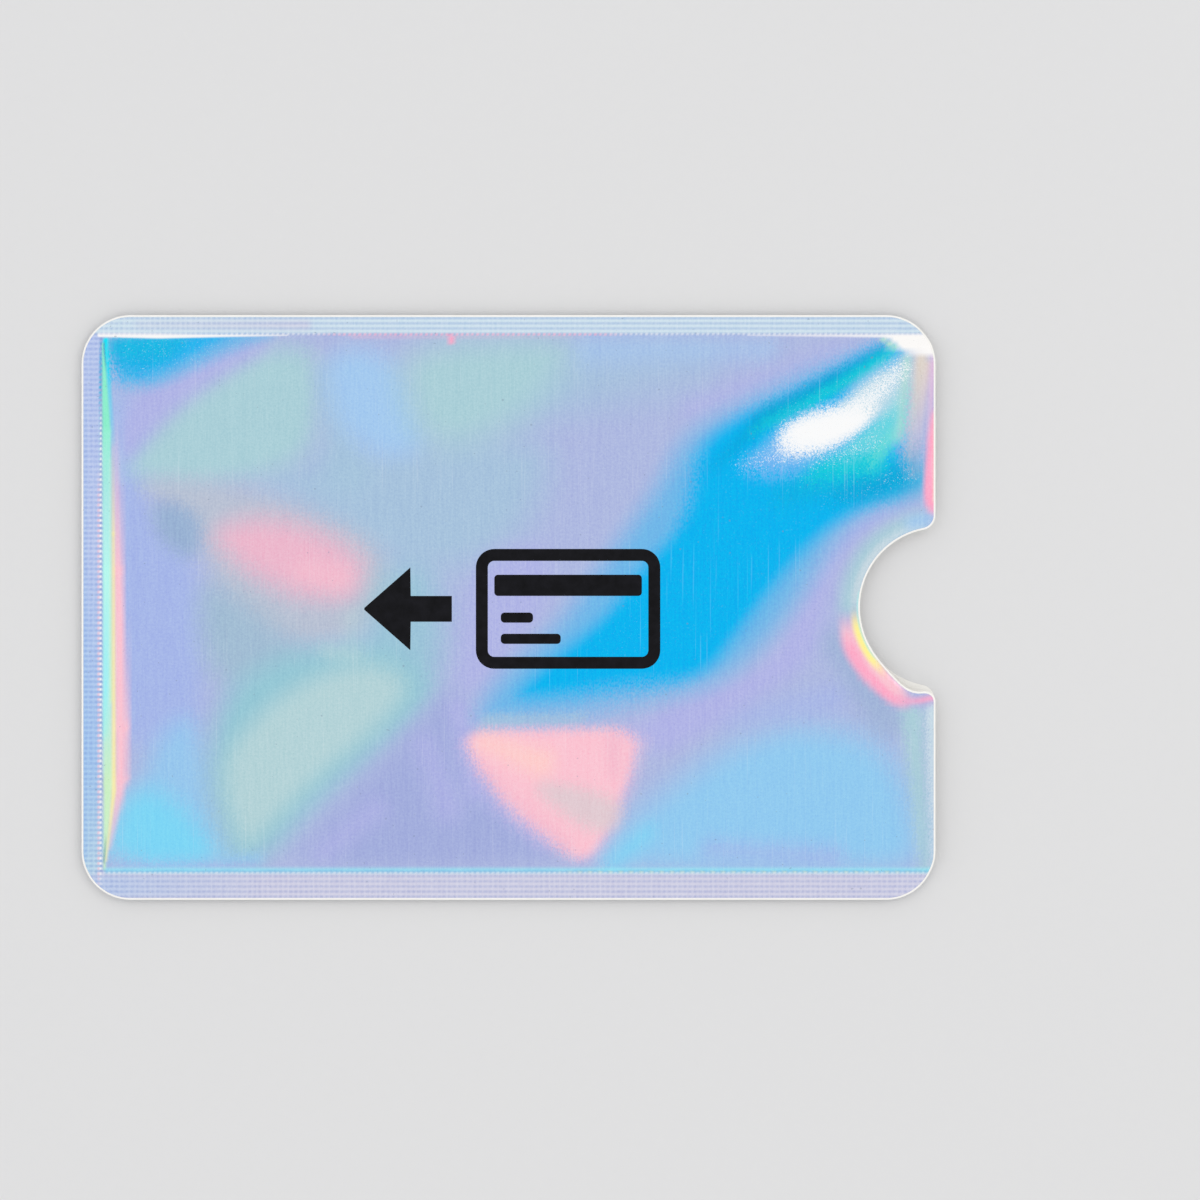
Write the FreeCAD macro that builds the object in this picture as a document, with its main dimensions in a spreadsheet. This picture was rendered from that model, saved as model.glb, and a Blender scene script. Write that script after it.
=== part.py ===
import FreeCAD, Part
import math
import os
import Sketcher

# A flat sleeve for one card. Two laminated panels are welded to each other along the top edge, the
# bottom edge and the closed end. The mouth, at +X, is open and has a round thumb notch.
# Frame: X runs from the closed end to the mouth, Y across the sleeve, Z up. The origin is in the
# middle of the sleeve, on the surface that the back panel rests on. Millimetres.

SIZES = {
    # Die-cut outline
    "sleeve_length": "92.7",
    "sleeve_width": "63.5",
    "corner_radius": "5.3",
    "notch_radius": "8.6",
    "notch_reach": "0.4",
    "lip_radius": "1.6",
    "trim_margin": "2.0",
    "cut_rim": "0.2",
    # Welded bands, and the shoulders where the panels rise from them
    "top_band": "2.0",
    "bottom_band": "2.9",
    "end_band": "2.0",
    "side_shoulder": "0.8",
    "end_shoulder": "1.3",
    "pocket_gap": "1.3",
    # Layers of one panel, and the fused strip between the panels
    "film_thick": "0.025",
    "glue_thick": "0.005",
    "foil_thick": "0.012",
    "liner_thick": "0.07",
    "weld_thick": "0.04",
    # Black print on the front: a card with a stripe and two bars, and an arrow into the pocket
    "ink_thick": "0.01",
    "print_across": "-0.15",
    "card_centre": "6.5",
    "card_length": "20.0",
    "card_width": "13.0",
    "card_radius": "2.0",
    "card_stroke": "1.3",
    "stripe_gap": "0.7",
    "stripe_drop": "1.5",
    "stripe_width": "2.3",
    "bar_inset": "1.4",
    "bar_length": "6.5",
    "bar_short_length": "3.5",
    "bar_width": "1.1",
    "bar_gap": "1.2",
    "bar_radius": "0.4",
    "arrow_gap": "2.6",
    "arrow_length": "9.5",
    "arrow_width": "9.0",
    "arrow_head": "5.0",
    "arrow_shaft": "2.8",
}

# One panel from the inside to the outside: layer name, thickness, set back from the cut edge
LAYERS = (
    ("liner", "sizes.liner_thick", "0"),
    ("liner_glue", "sizes.glue_thick", "sizes.cut_rim"),
    ("foil", "sizes.foil_thick", "sizes.cut_rim"),
    ("film_glue", "sizes.glue_thick", "sizes.cut_rim"),
    ("film", "sizes.film_thick", "sizes.cut_rim"),
)
PANEL = "(" + " + ".join(thick for _, thick, _ in LAYERS) + ")"

# Places that several pieces share
MOUTH = "sizes.sleeve_length / 2"
END_SEAL = "(sizes.sleeve_length / 2 - sizes.end_band)"
TOP_EDGE = "sizes.sleeve_width / 2"
TOP_SEAL = "(sizes.sleeve_width / 2 - sizes.top_band)"
BOTTOM_SEAL = "(sizes.sleeve_width / 2 - sizes.bottom_band)"
RISE = "((sizes.pocket_gap - sizes.weld_thick) / 2)"
SEAL_LEVEL = "(sizes.pocket_gap / 2 + " + PANEL + ")"

# Ends of a line or arc, its centre, and the sketch's own origin and X axis
START, FINISH, CENTRE = 1, 2, 3
ORIGIN = (-1, 1)
X_AXIS = -1


def make_sheet(doc):
    """The spreadsheet with one named cell for each driving size."""
    sheet = doc.addObject("Spreadsheet::Sheet", "sizes")
    for row, (name, number) in enumerate(SIZES.items(), start=1):
        sheet.set(f"A{row}", name)
        sheet.set(f"B{row}", number)
        sheet.setAlias(f"B{row}", name)
    doc.recompute()
    return sheet


def plane(body):
    """The body's own XY plane."""
    return next(f for f in body.Origin.OriginFeatures if f.Role == "XY_Plane")


def new_body(doc, name):
    """An empty body, labelled as its node."""
    body = doc.addObject("PartDesign::Body", name)
    body.Label = name
    return body


def attach(feature, body, level, turn=0):
    """Lay a feature on the body's XY plane at a height, turned about X."""
    feature.AttachmentSupport = [(plane(body), "")]
    feature.MapMode = "FlatFace"
    turned = FreeCAD.Rotation(FreeCAD.Vector(1, 0, 0), turn)
    feature.AttachmentOffset = FreeCAD.Placement(FreeCAD.Vector(), turned)
    feature.setExpression("AttachmentOffset.Base.z", level)


def new_sketch(body, name, level):
    """An empty sketch that lies flat at a height."""
    sketch = body.newObject("Sketcher::SketchObject", name)
    attach(sketch, body, level)
    return sketch


def hold(sketch, kind, where, text):
    """Add one dimension whose value is an expression on the sheet."""
    index = sketch.addConstraint(Sketcher.Constraint(kind, *where, sketch.evalExpression(text)))
    name = f"size_{index}"
    sketch.renameConstraint(index, name)
    sketch.setExpression(f"Constraints.{name}", text)


def fix_point(sketch, geometry, end, across, up):
    """Place the end of a line by its two distances from the origin."""
    hold(sketch, "DistanceX", (*ORIGIN, geometry, end), across)
    hold(sketch, "DistanceY", (*ORIGIN, geometry, end), up)


def polygon(sketch, corners):
    """Draw a closed outline of straight lines through (x, y) corners, given as expressions."""
    points = [FreeCAD.Vector(sketch.evalExpression(x), sketch.evalExpression(y)) for x, y in corners]
    following = points[1:] + points[:1]
    lines = [sketch.addGeometry(Part.LineSegment(a, b)) for a, b in zip(points, following)]
    for line, after in zip(lines, lines[1:] + lines[:1]):
        sketch.addConstraint(Sketcher.Constraint("Coincident", line, FINISH, after, START))
    for line, (x, y) in zip(lines, corners):
        fix_point(sketch, line, START, x, y)


def rectangle(sketch, left, bottom, right, top):
    """Draw a plain rectangle."""
    polygon(sketch, [(left, bottom), (right, bottom), (right, top), (left, top)])


def arc(sketch, centre, radius, start, finish):
    """Add an arc that runs anticlockwise between two angles in radians."""
    circle = Part.Circle(centre, FreeCAD.Vector(0, 0, 1), radius)
    return sketch.addGeometry(Part.ArcOfCircle(circle, start, finish))


def rounded_rectangle(sketch, left, bottom, right, top, corner):
    """Draw a rectangle with equal round corners, anticlockwise from its bottom line."""
    x0, y0, x1, y1, r = (sketch.evalExpression(t) for t in (left, bottom, right, top, corner))
    quarter = math.pi / 2
    sides = (
        ((x0 + r, y0), (x1 - r, y0), (x1 - r, y0 + r)),
        ((x1, y0 + r), (x1, y1 - r), (x1 - r, y1 - r)),
        ((x1 - r, y1), (x0 + r, y1), (x0 + r, y1 - r)),
        ((x0, y1 - r), (x0, y0 + r), (x0 + r, y0 + r)),
    )
    chain = []
    for number, (a, b, centre) in enumerate(sides):
        chain.append(sketch.addGeometry(Part.LineSegment(FreeCAD.Vector(*a), FreeCAD.Vector(*b))))
        turn = (number - 1) * quarter
        chain.append(arc(sketch, FreeCAD.Vector(*centre), r, turn, turn + quarter))
    for this, after in zip(chain, chain[1:] + chain[:1]):
        sketch.addConstraint(Sketcher.Constraint("Tangent", this, FINISH, after, START))
    for line in chain[0::4]:
        sketch.addConstraint(Sketcher.Constraint("Horizontal", line))
    for line in chain[2::4]:
        sketch.addConstraint(Sketcher.Constraint("Vertical", line))
    hold(sketch, "DistanceY", (*ORIGIN, chain[0], START), bottom)
    hold(sketch, "DistanceX", (*ORIGIN, chain[2], START), right)
    hold(sketch, "DistanceY", (*ORIGIN, chain[4], START), top)
    hold(sketch, "DistanceX", (*ORIGIN, chain[6], START), left)
    hold(sketch, "Radius", (chain[1],), corner)
    for other in chain[3::2]:
        sketch.addConstraint(Sketcher.Constraint("Equal", chain[1], other))


def die_outline(sketch, setback):
    """Draw the outline that the die cuts, or one parallel to it and set back into the material.

    Four round corners, and in the mouth edge a thumb notch whose two lips are rounded off.
    """
    half_length = f"({MOUTH} - {setback})"
    half_width = f"({TOP_EDGE} - {setback})"
    corner = f"sizes.corner_radius - {setback}"
    lip = f"sizes.lip_radius - {setback}"
    notch = f"sizes.notch_radius + {setback}"
    notch_at = f"{MOUTH} + sizes.notch_reach"
    x, y, r = (sketch.evalExpression(t) for t in (half_length, half_width, corner))
    lip_r, notch_r, notch_x = (sketch.evalExpression(t) for t in (lip, notch, notch_at))
    # A lip's centre is one lip radius inside the mouth edge, and touches the notch from outside it
    lip_x = x - lip_r
    lip_y = math.sqrt((notch_r + lip_r) ** 2 - (notch_x - lip_x) ** 2)
    lean = math.atan2(lip_y, notch_x - lip_x)
    half = math.pi

    def line(a, b):
        return sketch.addGeometry(Part.LineSegment(FreeCAD.Vector(*a), FreeCAD.Vector(*b)))

    bottom = line((r - x, -y), (x - r, -y))
    bottom_mouth = arc(sketch, FreeCAD.Vector(x - r, r - y), r, -half / 2, 0)
    lower_mouth = line((x, r - y), (x, -lip_y))
    lower_lip = arc(sketch, FreeCAD.Vector(lip_x, -lip_y), lip_r, 0, lean)
    thumb = arc(sketch, FreeCAD.Vector(notch_x, 0), notch_r, half - lean, half + lean)
    upper_lip = arc(sketch, FreeCAD.Vector(lip_x, lip_y), lip_r, -lean, 0)
    upper_mouth = line((x, lip_y), (x, y - r))
    top_mouth = arc(sketch, FreeCAD.Vector(x - r, y - r), r, 0, half / 2)
    top = line((x - r, y), (r - x, y))
    top_end = arc(sketch, FreeCAD.Vector(r - x, y - r), r, half / 2, half)
    end = line((-x, y - r), (-x, r - y))
    bottom_end = arc(sketch, FreeCAD.Vector(r - x, r - y), r, half, half * 1.5)

    # The notch is hollow, so its arc runs against the direction of the rest
    chain = (
        (bottom, START, FINISH),
        (bottom_mouth, START, FINISH),
        (lower_mouth, START, FINISH),
        (lower_lip, START, FINISH),
        (thumb, FINISH, START),
        (upper_lip, START, FINISH),
        (upper_mouth, START, FINISH),
        (top_mouth, START, FINISH),
        (top, START, FINISH),
        (top_end, START, FINISH),
        (end, START, FINISH),
        (bottom_end, START, FINISH),
    )
    for (this, _, last), (after, first, _) in zip(chain, chain[1:] + chain[:1]):
        sketch.addConstraint(Sketcher.Constraint("Tangent", this, last, after, first))
    for level_line in (bottom, top):
        sketch.addConstraint(Sketcher.Constraint("Horizontal", level_line))
    for upright in (lower_mouth, upper_mouth, end):
        sketch.addConstraint(Sketcher.Constraint("Vertical", upright))
    hold(sketch, "DistanceY", (bottom, START, *ORIGIN), half_width)
    hold(sketch, "DistanceY", (*ORIGIN, top, START), half_width)
    hold(sketch, "DistanceX", (end, START, *ORIGIN), half_length)
    hold(sketch, "DistanceX", (*ORIGIN, lower_mouth, START), half_length)
    hold(sketch, "DistanceX", (*ORIGIN, upper_mouth, START), half_length)
    hold(sketch, "Radius", (bottom_mouth,), corner)
    for other in (top_mouth, top_end, bottom_end):
        sketch.addConstraint(Sketcher.Constraint("Equal", bottom_mouth, other))
    hold(sketch, "Radius", (lower_lip,), lip)
    sketch.addConstraint(Sketcher.Constraint("Equal", lower_lip, upper_lip))
    hold(sketch, "Radius", (thumb,), notch)
    hold(sketch, "DistanceX", (*ORIGIN, thumb, CENTRE), notch_at)
    sketch.addConstraint(Sketcher.Constraint("PointOnObject", thumb, CENTRE, X_AXIS))


def pad(body, sketch, name, thick, down=False):
    """Thicken a sketch upwards, or downwards."""
    feature = body.newObject("PartDesign::Pad", name)
    feature.Profile = sketch
    feature.Reversed = down
    feature.setExpression("Length", thick)


def wedge(body, kind, name, level, front):
    """Add or take away the raised field of a panel: a slab with sloping shoulders on three sides.

    Its base is the inner line of the three bands, and it runs out past the mouth edge. The wedge's
    own second axis is its height, so it is turned to point up on the front and down on the back.
    """
    feature = body.newObject(kind, name)
    attach(feature, body, level, 90 if front else -90)
    first, last = (TOP_SEAL, BOTTOM_SEAL) if front else (BOTTOM_SEAL, TOP_SEAL)
    past_mouth = f"{MOUTH} + sizes.trim_margin"
    places = {
        "Xmin": f"-{END_SEAL}",
        "Xmax": past_mouth,
        "X2min": f"sizes.end_shoulder - {END_SEAL}",
        "X2max": past_mouth,
        "Ymin": "0",
        "Ymax": RISE,
        "Zmin": f"-{first}",
        "Zmax": last,
        "Z2min": f"sizes.side_shoulder - {first}",
        "Z2max": f"{last} - sizes.side_shoulder",
    }
    for side, text in places.items():
        feature.setExpression(side, text)


def blank_frame(sketch, margins):
    """Draw a rectangle that stands out past the cut edge by a number of trim margins."""
    across = f"({MOUTH} + {margins} * sizes.trim_margin)"
    up = f"({TOP_EDGE} + {margins} * sizes.trim_margin)"
    rectangle(sketch, f"-{across}", f"-{up}", across, up)


def die_cut(body, setback):
    """Cut a body to the die's outline, by taking away all that lies outside it."""
    sketch = new_sketch(body, "die", "0")
    die_outline(sketch, setback)
    blank_frame(sketch, 2)
    cut = body.newObject("PartDesign::Pocket", "die_cut")
    cut.Profile = sketch
    cut.SideType = "Two sides"
    cut.Type = "ThroughAll"
    cut.Type2 = "ThroughAll"


def panel_layer(doc, name, inside, thick, setback, front):
    """One layer of a panel: a sheet of even height with a raised field, cut to the outline.

    The layer's inner face lies at the given distance from the middle of the weld.
    """
    body = new_body(doc, name)
    sign = "+" if front else "-"
    inner = f"{SEAL_LEVEL} {sign} ({inside})"
    outer = f"{inner} {sign} {thick}"
    sketch = new_sketch(body, "blank", inner)
    blank_frame(sketch, 1)
    pad(body, sketch, "flat_sheet", thick, down=not front)
    wedge(body, "PartDesign::AdditiveWedge", "raised_field", outer, front)
    wedge(body, "PartDesign::SubtractiveWedge", "hollow", inner, front)
    die_cut(body, setback)
    return body


def panel(doc, side, front):
    """All layers of the front or the back panel, from the liner outwards."""
    inside = "sizes.weld_thick / 2"
    bodies = []
    for layer, thick, setback in LAYERS:
        bodies.append(panel_layer(doc, f"{side}_{layer}", inside, thick, setback, front))
        inside = f"{inside} + {thick}"
    return bodies


def weld(doc, name, left, bottom, right, top):
    """A fused strip between the two liners, cut to the outline."""
    body = new_body(doc, name)
    sketch = new_sketch(body, "strip", f"{SEAL_LEVEL} - sizes.weld_thick / 2")
    rectangle(sketch, left, bottom, right, top)
    pad(body, sketch, "fused_strip", "sizes.weld_thick")
    die_cut(body, "0")
    return body


def welds(doc):
    """The top and bottom strips run the full length, and the end strip lies between them."""
    past_end = f"-({MOUTH} + sizes.trim_margin)"
    past_mouth = f"{MOUTH} + sizes.trim_margin"
    past_top = f"{TOP_EDGE} + sizes.trim_margin"
    past_bottom = f"-({TOP_EDGE} + sizes.trim_margin)"
    return [
        weld(doc, "top_weld", past_end, TOP_SEAL, past_mouth, past_top),
        weld(doc, "bottom_weld", past_end, past_bottom, past_mouth, f"-{BOTTOM_SEAL}"),
        weld(doc, "end_weld", past_end, f"-{BOTTOM_SEAL}", f"-{END_SEAL}", TOP_SEAL),
    ]


def ink_mark(body, name, draw, *corners):
    """One flat mark of ink on the raised field of the front film."""
    level = f"{SEAL_LEVEL} + sizes.weld_thick / 2 + {PANEL} + {RISE}"
    sketch = new_sketch(body, f"{name}_shape", level)
    draw(sketch, *corners)
    pad(body, sketch, name, "sizes.ink_thick")


def card_frame(sketch):
    """The outline of a card, as a band one stroke wide."""
    left = "(sizes.card_centre - sizes.card_length / 2)"
    right = "(sizes.card_centre + sizes.card_length / 2)"
    bottom = "(sizes.print_across - sizes.card_width / 2)"
    top = "(sizes.print_across + sizes.card_width / 2)"
    stroke = "sizes.card_stroke"
    rounded_rectangle(sketch, left, bottom, right, top, "sizes.card_radius")
    rounded_rectangle(
        sketch,
        f"{left} + {stroke}",
        f"{bottom} + {stroke}",
        f"{right} - {stroke}",
        f"{top} - {stroke}",
        f"sizes.card_radius - {stroke}",
    )


def front_print(doc):
    """Black print: a card with its stripe and two short bars, and an arrow towards the closed end."""
    body = new_body(doc, "front_print")
    body.AllowCompound = True
    ink_mark(body, "card", card_frame)

    inner_left = "(sizes.card_centre - sizes.card_length / 2 + sizes.card_stroke)"
    inner_right = "(sizes.card_centre + sizes.card_length / 2 - sizes.card_stroke)"
    inner_top = "(sizes.print_across + sizes.card_width / 2 - sizes.card_stroke)"
    inner_bottom = "(sizes.print_across - sizes.card_width / 2 + sizes.card_stroke)"
    stripe_top = f"{inner_top} - sizes.stripe_drop"
    ink_mark(
        body,
        "stripe",
        rectangle,
        f"{inner_left} + sizes.stripe_gap",
        f"{stripe_top} - sizes.stripe_width",
        f"{inner_right} - sizes.stripe_gap",
        stripe_top,
    )

    bar_left = f"{inner_left} + sizes.bar_inset"
    low = f"{inner_bottom} + sizes.bar_inset"
    bars = (
        ("bar", "sizes.bar_length", low),
        ("short_bar", "sizes.bar_short_length", f"{low} + sizes.bar_width + sizes.bar_gap"),
    )
    for name, length, bottom in bars:
        ink_mark(
            body,
            name,
            rounded_rectangle,
            bar_left,
            bottom,
            f"{bar_left} + {length}",
            f"{bottom} + sizes.bar_width",
            "sizes.bar_radius",
        )

    foot = "(sizes.card_centre - sizes.card_length / 2 - sizes.arrow_gap)"
    tip = f"({foot} - sizes.arrow_length)"
    neck = f"({tip} + sizes.arrow_head)"
    middle = "sizes.print_across"
    corners = [
        (tip, middle),
        (neck, f"{middle} - sizes.arrow_width / 2"),
        (neck, f"{middle} - sizes.arrow_shaft / 2"),
        (foot, f"{middle} - sizes.arrow_shaft / 2"),
        (foot, f"{middle} + sizes.arrow_shaft / 2"),
        (neck, f"{middle} + sizes.arrow_shaft / 2"),
        (neck, f"{middle} + sizes.arrow_width / 2"),
    ]
    ink_mark(body, "arrow", polygon, corners)
    return body


def check(doc, bodies):
    """Stop if any object failed to build, or any piece isn't sound."""
    doc.recompute()
    for item in doc.Objects:
        if {"Invalid", "Error"} & set(item.State):
            raise RuntimeError(f"{item.Label} in {item.Name} failed: {item.State}")
    for body in bodies:
        if body.Shape.isNull() or not body.Shape.isValid() or not body.Shape.Solids:
            raise RuntimeError(f"{body.Label} isn't a sound solid")


def write(bodies):
    """Write each piece to its own file, and print what it measures."""
    os.makedirs("parts", exist_ok=True)
    for body in bodies:
        body.Shape.exportStep(os.path.join("parts", f"{body.Label}.step"))
        box = body.Shape.BoundBox
        print(
            f"{body.Label}: {len(body.Shape.Solids)} solid(s), {body.Shape.Volume:.3f} mm3, "
            f"{box.XLength:.2f} x {box.YLength:.2f} x {box.ZLength:.3f} mm from z {box.ZMin:.3f}"
        )


def main():
    """Build the sleeve and write its pieces."""
    doc = FreeCAD.newDocument("card_sleeve")
    make_sheet(doc)
    bodies = [front_print(doc)]
    bodies += panel(doc, "front", True)
    bodies += welds(doc)
    bodies += panel(doc, "back", False)
    check(doc, bodies)
    write(bodies)


main()
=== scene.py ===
"""Card sleeve of welded holographic film: its layers, print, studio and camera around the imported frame.

Sizes are in millimetres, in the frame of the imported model: +X from the closed end to the mouth, +Y to the
narrow top band, +Z out of the printed front. MM turns them into Blender's metres when a mesh is made.
"""

import logging
import math
from dataclasses import dataclass
from enum import Enum

import bpy
import numpy as np
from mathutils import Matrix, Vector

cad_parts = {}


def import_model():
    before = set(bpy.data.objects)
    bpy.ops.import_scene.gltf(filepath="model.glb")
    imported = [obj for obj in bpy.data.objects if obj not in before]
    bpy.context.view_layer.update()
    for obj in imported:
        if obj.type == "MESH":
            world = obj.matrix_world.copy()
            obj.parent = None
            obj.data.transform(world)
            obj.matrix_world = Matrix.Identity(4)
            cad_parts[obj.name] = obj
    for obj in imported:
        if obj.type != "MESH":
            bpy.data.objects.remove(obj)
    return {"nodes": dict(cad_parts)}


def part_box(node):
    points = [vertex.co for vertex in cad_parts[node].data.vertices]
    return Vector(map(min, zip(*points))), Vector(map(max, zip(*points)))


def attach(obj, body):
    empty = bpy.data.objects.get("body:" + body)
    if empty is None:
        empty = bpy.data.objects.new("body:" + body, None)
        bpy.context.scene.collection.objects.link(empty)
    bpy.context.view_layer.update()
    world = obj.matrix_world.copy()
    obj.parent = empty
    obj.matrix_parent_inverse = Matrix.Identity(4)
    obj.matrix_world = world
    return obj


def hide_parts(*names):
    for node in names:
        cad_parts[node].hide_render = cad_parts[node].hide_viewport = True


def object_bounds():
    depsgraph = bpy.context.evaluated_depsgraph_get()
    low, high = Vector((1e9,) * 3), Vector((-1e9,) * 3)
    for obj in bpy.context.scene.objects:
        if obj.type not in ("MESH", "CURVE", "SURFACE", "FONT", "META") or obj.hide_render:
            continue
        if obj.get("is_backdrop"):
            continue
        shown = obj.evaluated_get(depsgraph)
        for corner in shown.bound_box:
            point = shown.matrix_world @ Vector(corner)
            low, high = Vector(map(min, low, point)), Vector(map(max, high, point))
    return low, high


MM = 0.001
SEAL_PITCH = 0.556
LOG = logging.getLogger("card_sleeve")

# Places are whole arrays of x or of y, Cells are counts to a millimetre along each axis, and Light is linear
# red, green and blue.
Places = np.ndarray
Point = tuple[float, float]
Cells = tuple[float, float, float]
Light = tuple[float, float, float]
Socket = bpy.types.NodeSocket
Materials = dict[str, bpy.types.Material]


class Side(Enum):
    """The two panels of the sleeve, by the direction that their outer film faces."""

    FRONT = 1
    BACK = -1


class Tint(Enum):
    """Colours that the film shows, as display red, green and blue from 0 to 255."""

    LILAC = (175, 186, 226)
    PERIWINKLE = (167, 184, 234)
    VIOLET = (164, 175, 222)
    ORCHID = (178, 181, 232)
    MIST = (166, 197, 221)
    TEAL = (171, 208, 217)
    DEEP_TEAL = (150, 200, 214)
    PALE_BLUE = (164, 202, 240)
    SKY = (146, 203, 241)
    BRIGHT_SKY = (122, 216, 247)
    BLUE = (112, 184, 234)
    CYAN = (3, 181, 241)
    DEEP_CYAN = (10, 178, 226)
    AQUA = (0, 226, 246)
    TURQUOISE = (20, 205, 220)
    PALE_TEAL = (181, 212, 217)
    LAGOON = (104, 214, 226)
    SEA = (178, 222, 214)
    STEEL = (152, 178, 211)
    HAZE = (160, 190, 210)
    PEARL = (188, 196, 209)
    PINK = (240, 184, 205)
    BLUSH = (252, 197, 211)
    PEACH = (255, 208, 204)
    ROSE = (255, 170, 200)
    SAND = (221, 204, 210)
    CREAM = (223, 213, 203)
    MINT = (142, 240, 206)
    PALE_MINT = (176, 238, 234)
    LEMON = (255, 243, 152)
    PALE_LEMON = (248, 238, 172)
    PALE_LIME = (206, 242, 200)
    PALE_AQUA = (184, 250, 240)
    ICE = (150, 242, 250)
    MAUVE = (226, 192, 222)
    AZURE = (0, 163, 214)
    CORNFLOWER = (126, 184, 243)
    TOP_BAND = (212, 230, 240)
    LOW_BAND = (214, 213, 231)
    END_BAND = (192, 206, 240)
    FROST = (206, 226, 232)
    WHITE = (253, 251, 249)

    def linear(self) -> np.ndarray:
        """The tint as linear light, by the usual display curve."""
        shown = np.array(self.value) / 255.0
        return np.where(shown <= 0.04045, shown / 12.92, ((shown + 0.055) / 1.055) ** 2.4)


def ramp(t: Places) -> Places:
    """Smooth step: 0 below 0, 1 above 1, and 3t^2 - 2t^3 between."""
    t = np.clip(t, 0.0, 1.0)
    return t * t * (3.0 - 2.0 * t)


def soft_edge(depth: Places, soft: float) -> Places:
    """Smooth step across an edge, by the depth inside it: 0 at soft outside it, and 1 at soft inside."""
    return ramp((depth + soft) / (2.0 * soft))


def faded_span(places: Places, span: Point, fade: float) -> Places:
    """Share of a span: a smooth step up from 0 at its start, and one down to 0 at its end, each fade long."""
    return ramp((places - span[0]) / fade) * ramp((span[1] - places) / fade)


def bell(gap: Places, width: float) -> Places:
    """Bell curve of a distance: e to the power of minus the square of gap over width."""
    return np.exp(-((gap / width) ** 2))


def spaced(start: float, end: float, step: float) -> np.ndarray:
    """Even places from start to end, both among them, with neighbours at most a step apart."""
    return np.linspace(start, end, max(2, math.ceil(abs(end - start) / step) + 1))


def chain(*runs: np.ndarray) -> np.ndarray:
    """Runs of places joined end to end, each shared end kept once."""
    return np.concatenate([runs[0]] + [run[1:] for run in runs[1:]])


def refine(places: np.ndarray, split: int) -> np.ndarray:
    """Places with each gap between neighbours cut into split even parts."""
    count = len(places)
    return np.interp(np.arange((count - 1) * split + 1) / split, np.arange(count), places)


def gap_to_run(x: Places, y: Places, start: Point, end: Point) -> tuple[Places, Places]:
    """Distance from each place to a straight run.

    Args:
        x: places along the sleeve.
        y: places across it.
        start: one end of the run.
        end: its other end.

    Returns:
        The distance, and the share of the run at which its nearest point lies.
    """
    dx, dy = end[0] - start[0], end[1] - start[1]
    along = np.clip(((x - start[0]) * dx + (y - start[1]) * dy) / (dx * dx + dy * dy), 0.0, 1.0)
    return np.hypot(x - start[0] - along * dx, y - start[1] - along * dy), along


def node_box(node: str) -> tuple[np.ndarray, np.ndarray]:
    """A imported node's lowest and highest corners at rest, in millimetres."""
    low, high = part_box(node)
    return np.array(low) / MM, np.array(high) / MM


@dataclass(frozen=True)
class Stroke:
    """A soft round-ended streak of one tint, whose half width runs evenly from one end to the other."""

    tint: Tint
    start: Point
    end: Point
    reach: Point
    soft: float
    cover: float = 1.0
    end_cover: float | None = None

    def weight(self, x: Places, y: Places) -> Places:
        """Cover at each place: full inside the streak, falling by a smooth step over its soft edge.

        Args:
            x: places along the sleeve.
            y: places across it.

        Returns:
            The cover. Like the half width, what counts as full runs evenly from the start to the end.
        """
        gap, along = gap_to_run(x, y, self.start, self.end)
        reach = self.reach[0] + along * (self.reach[1] - self.reach[0])
        end_cover = self.cover if self.end_cover is None else self.end_cover
        cover = self.cover + along * (end_cover - self.cover)
        return cover * soft_edge(reach - gap, self.soft)


@dataclass(frozen=True)
class Facet:
    """A patch of one tint inside an outline of corners, as one flat of the film shows it."""

    tint: Tint
    corners: tuple[Point, ...]
    soft: float
    cover: float = 1.0
    rounds: int = 2
    trim: float = 0.25

    def outline(self) -> np.ndarray:
        """The corners cut off again and again: each round trims the same share off both ends of every side.

        Returns:
            The points of the outline, one row each.
        """
        outline = np.array(self.corners, float)
        for _ in range(self.rounds):
            after = np.roll(outline, -1, 0)
            near = (1.0 - self.trim) * outline + self.trim * after
            far = self.trim * outline + (1.0 - self.trim) * after
            outline = np.stack((near, far), 1).reshape(-1, 2)
        return outline

    def depth(self, x: Places, y: Places, outline: np.ndarray) -> Places:
        """Distance from the outline's nearest side, positive inside it and negative outside.

        A place is inside where a line from it along +X crosses the outline an odd number of times.

        Args:
            x: places along the sleeve.
            y: places across it.
            outline: the points of the outline, one row each.

        Returns:
            The signed distance.
        """
        inside = np.zeros(x.shape, bool)
        gap = np.full(x.shape, np.inf)
        for start, end in zip(outline, np.roll(outline, -1, 0)):
            gap = np.minimum(gap, gap_to_run(x, y, start, end)[0])
            rise = end[1] - start[1]
            if rise:
                across = start[0] + (y - start[1]) * (end[0] - start[0]) / rise
                inside ^= ((start[1] > y) != (end[1] > y)) & (x < across)
        return np.where(inside, gap, -gap)

    def weight(self, x: Places, y: Places) -> Places:
        """Cover at each place: a smooth step of the depth, which is measured only near the outline's box.

        Args:
            x: places along the sleeve.
            y: places across it.

        Returns:
            The cover.
        """
        outline = self.outline()
        low, high = outline.min(0) - self.soft, outline.max(0) + self.soft
        near = (x > low[0]) & (x < high[0]) & (y > low[1]) & (y < high[1])
        weight = np.zeros(x.shape)
        weight[near] = self.cover * soft_edge(self.depth(x[near], y[near], outline), self.soft)
        return weight


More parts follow.
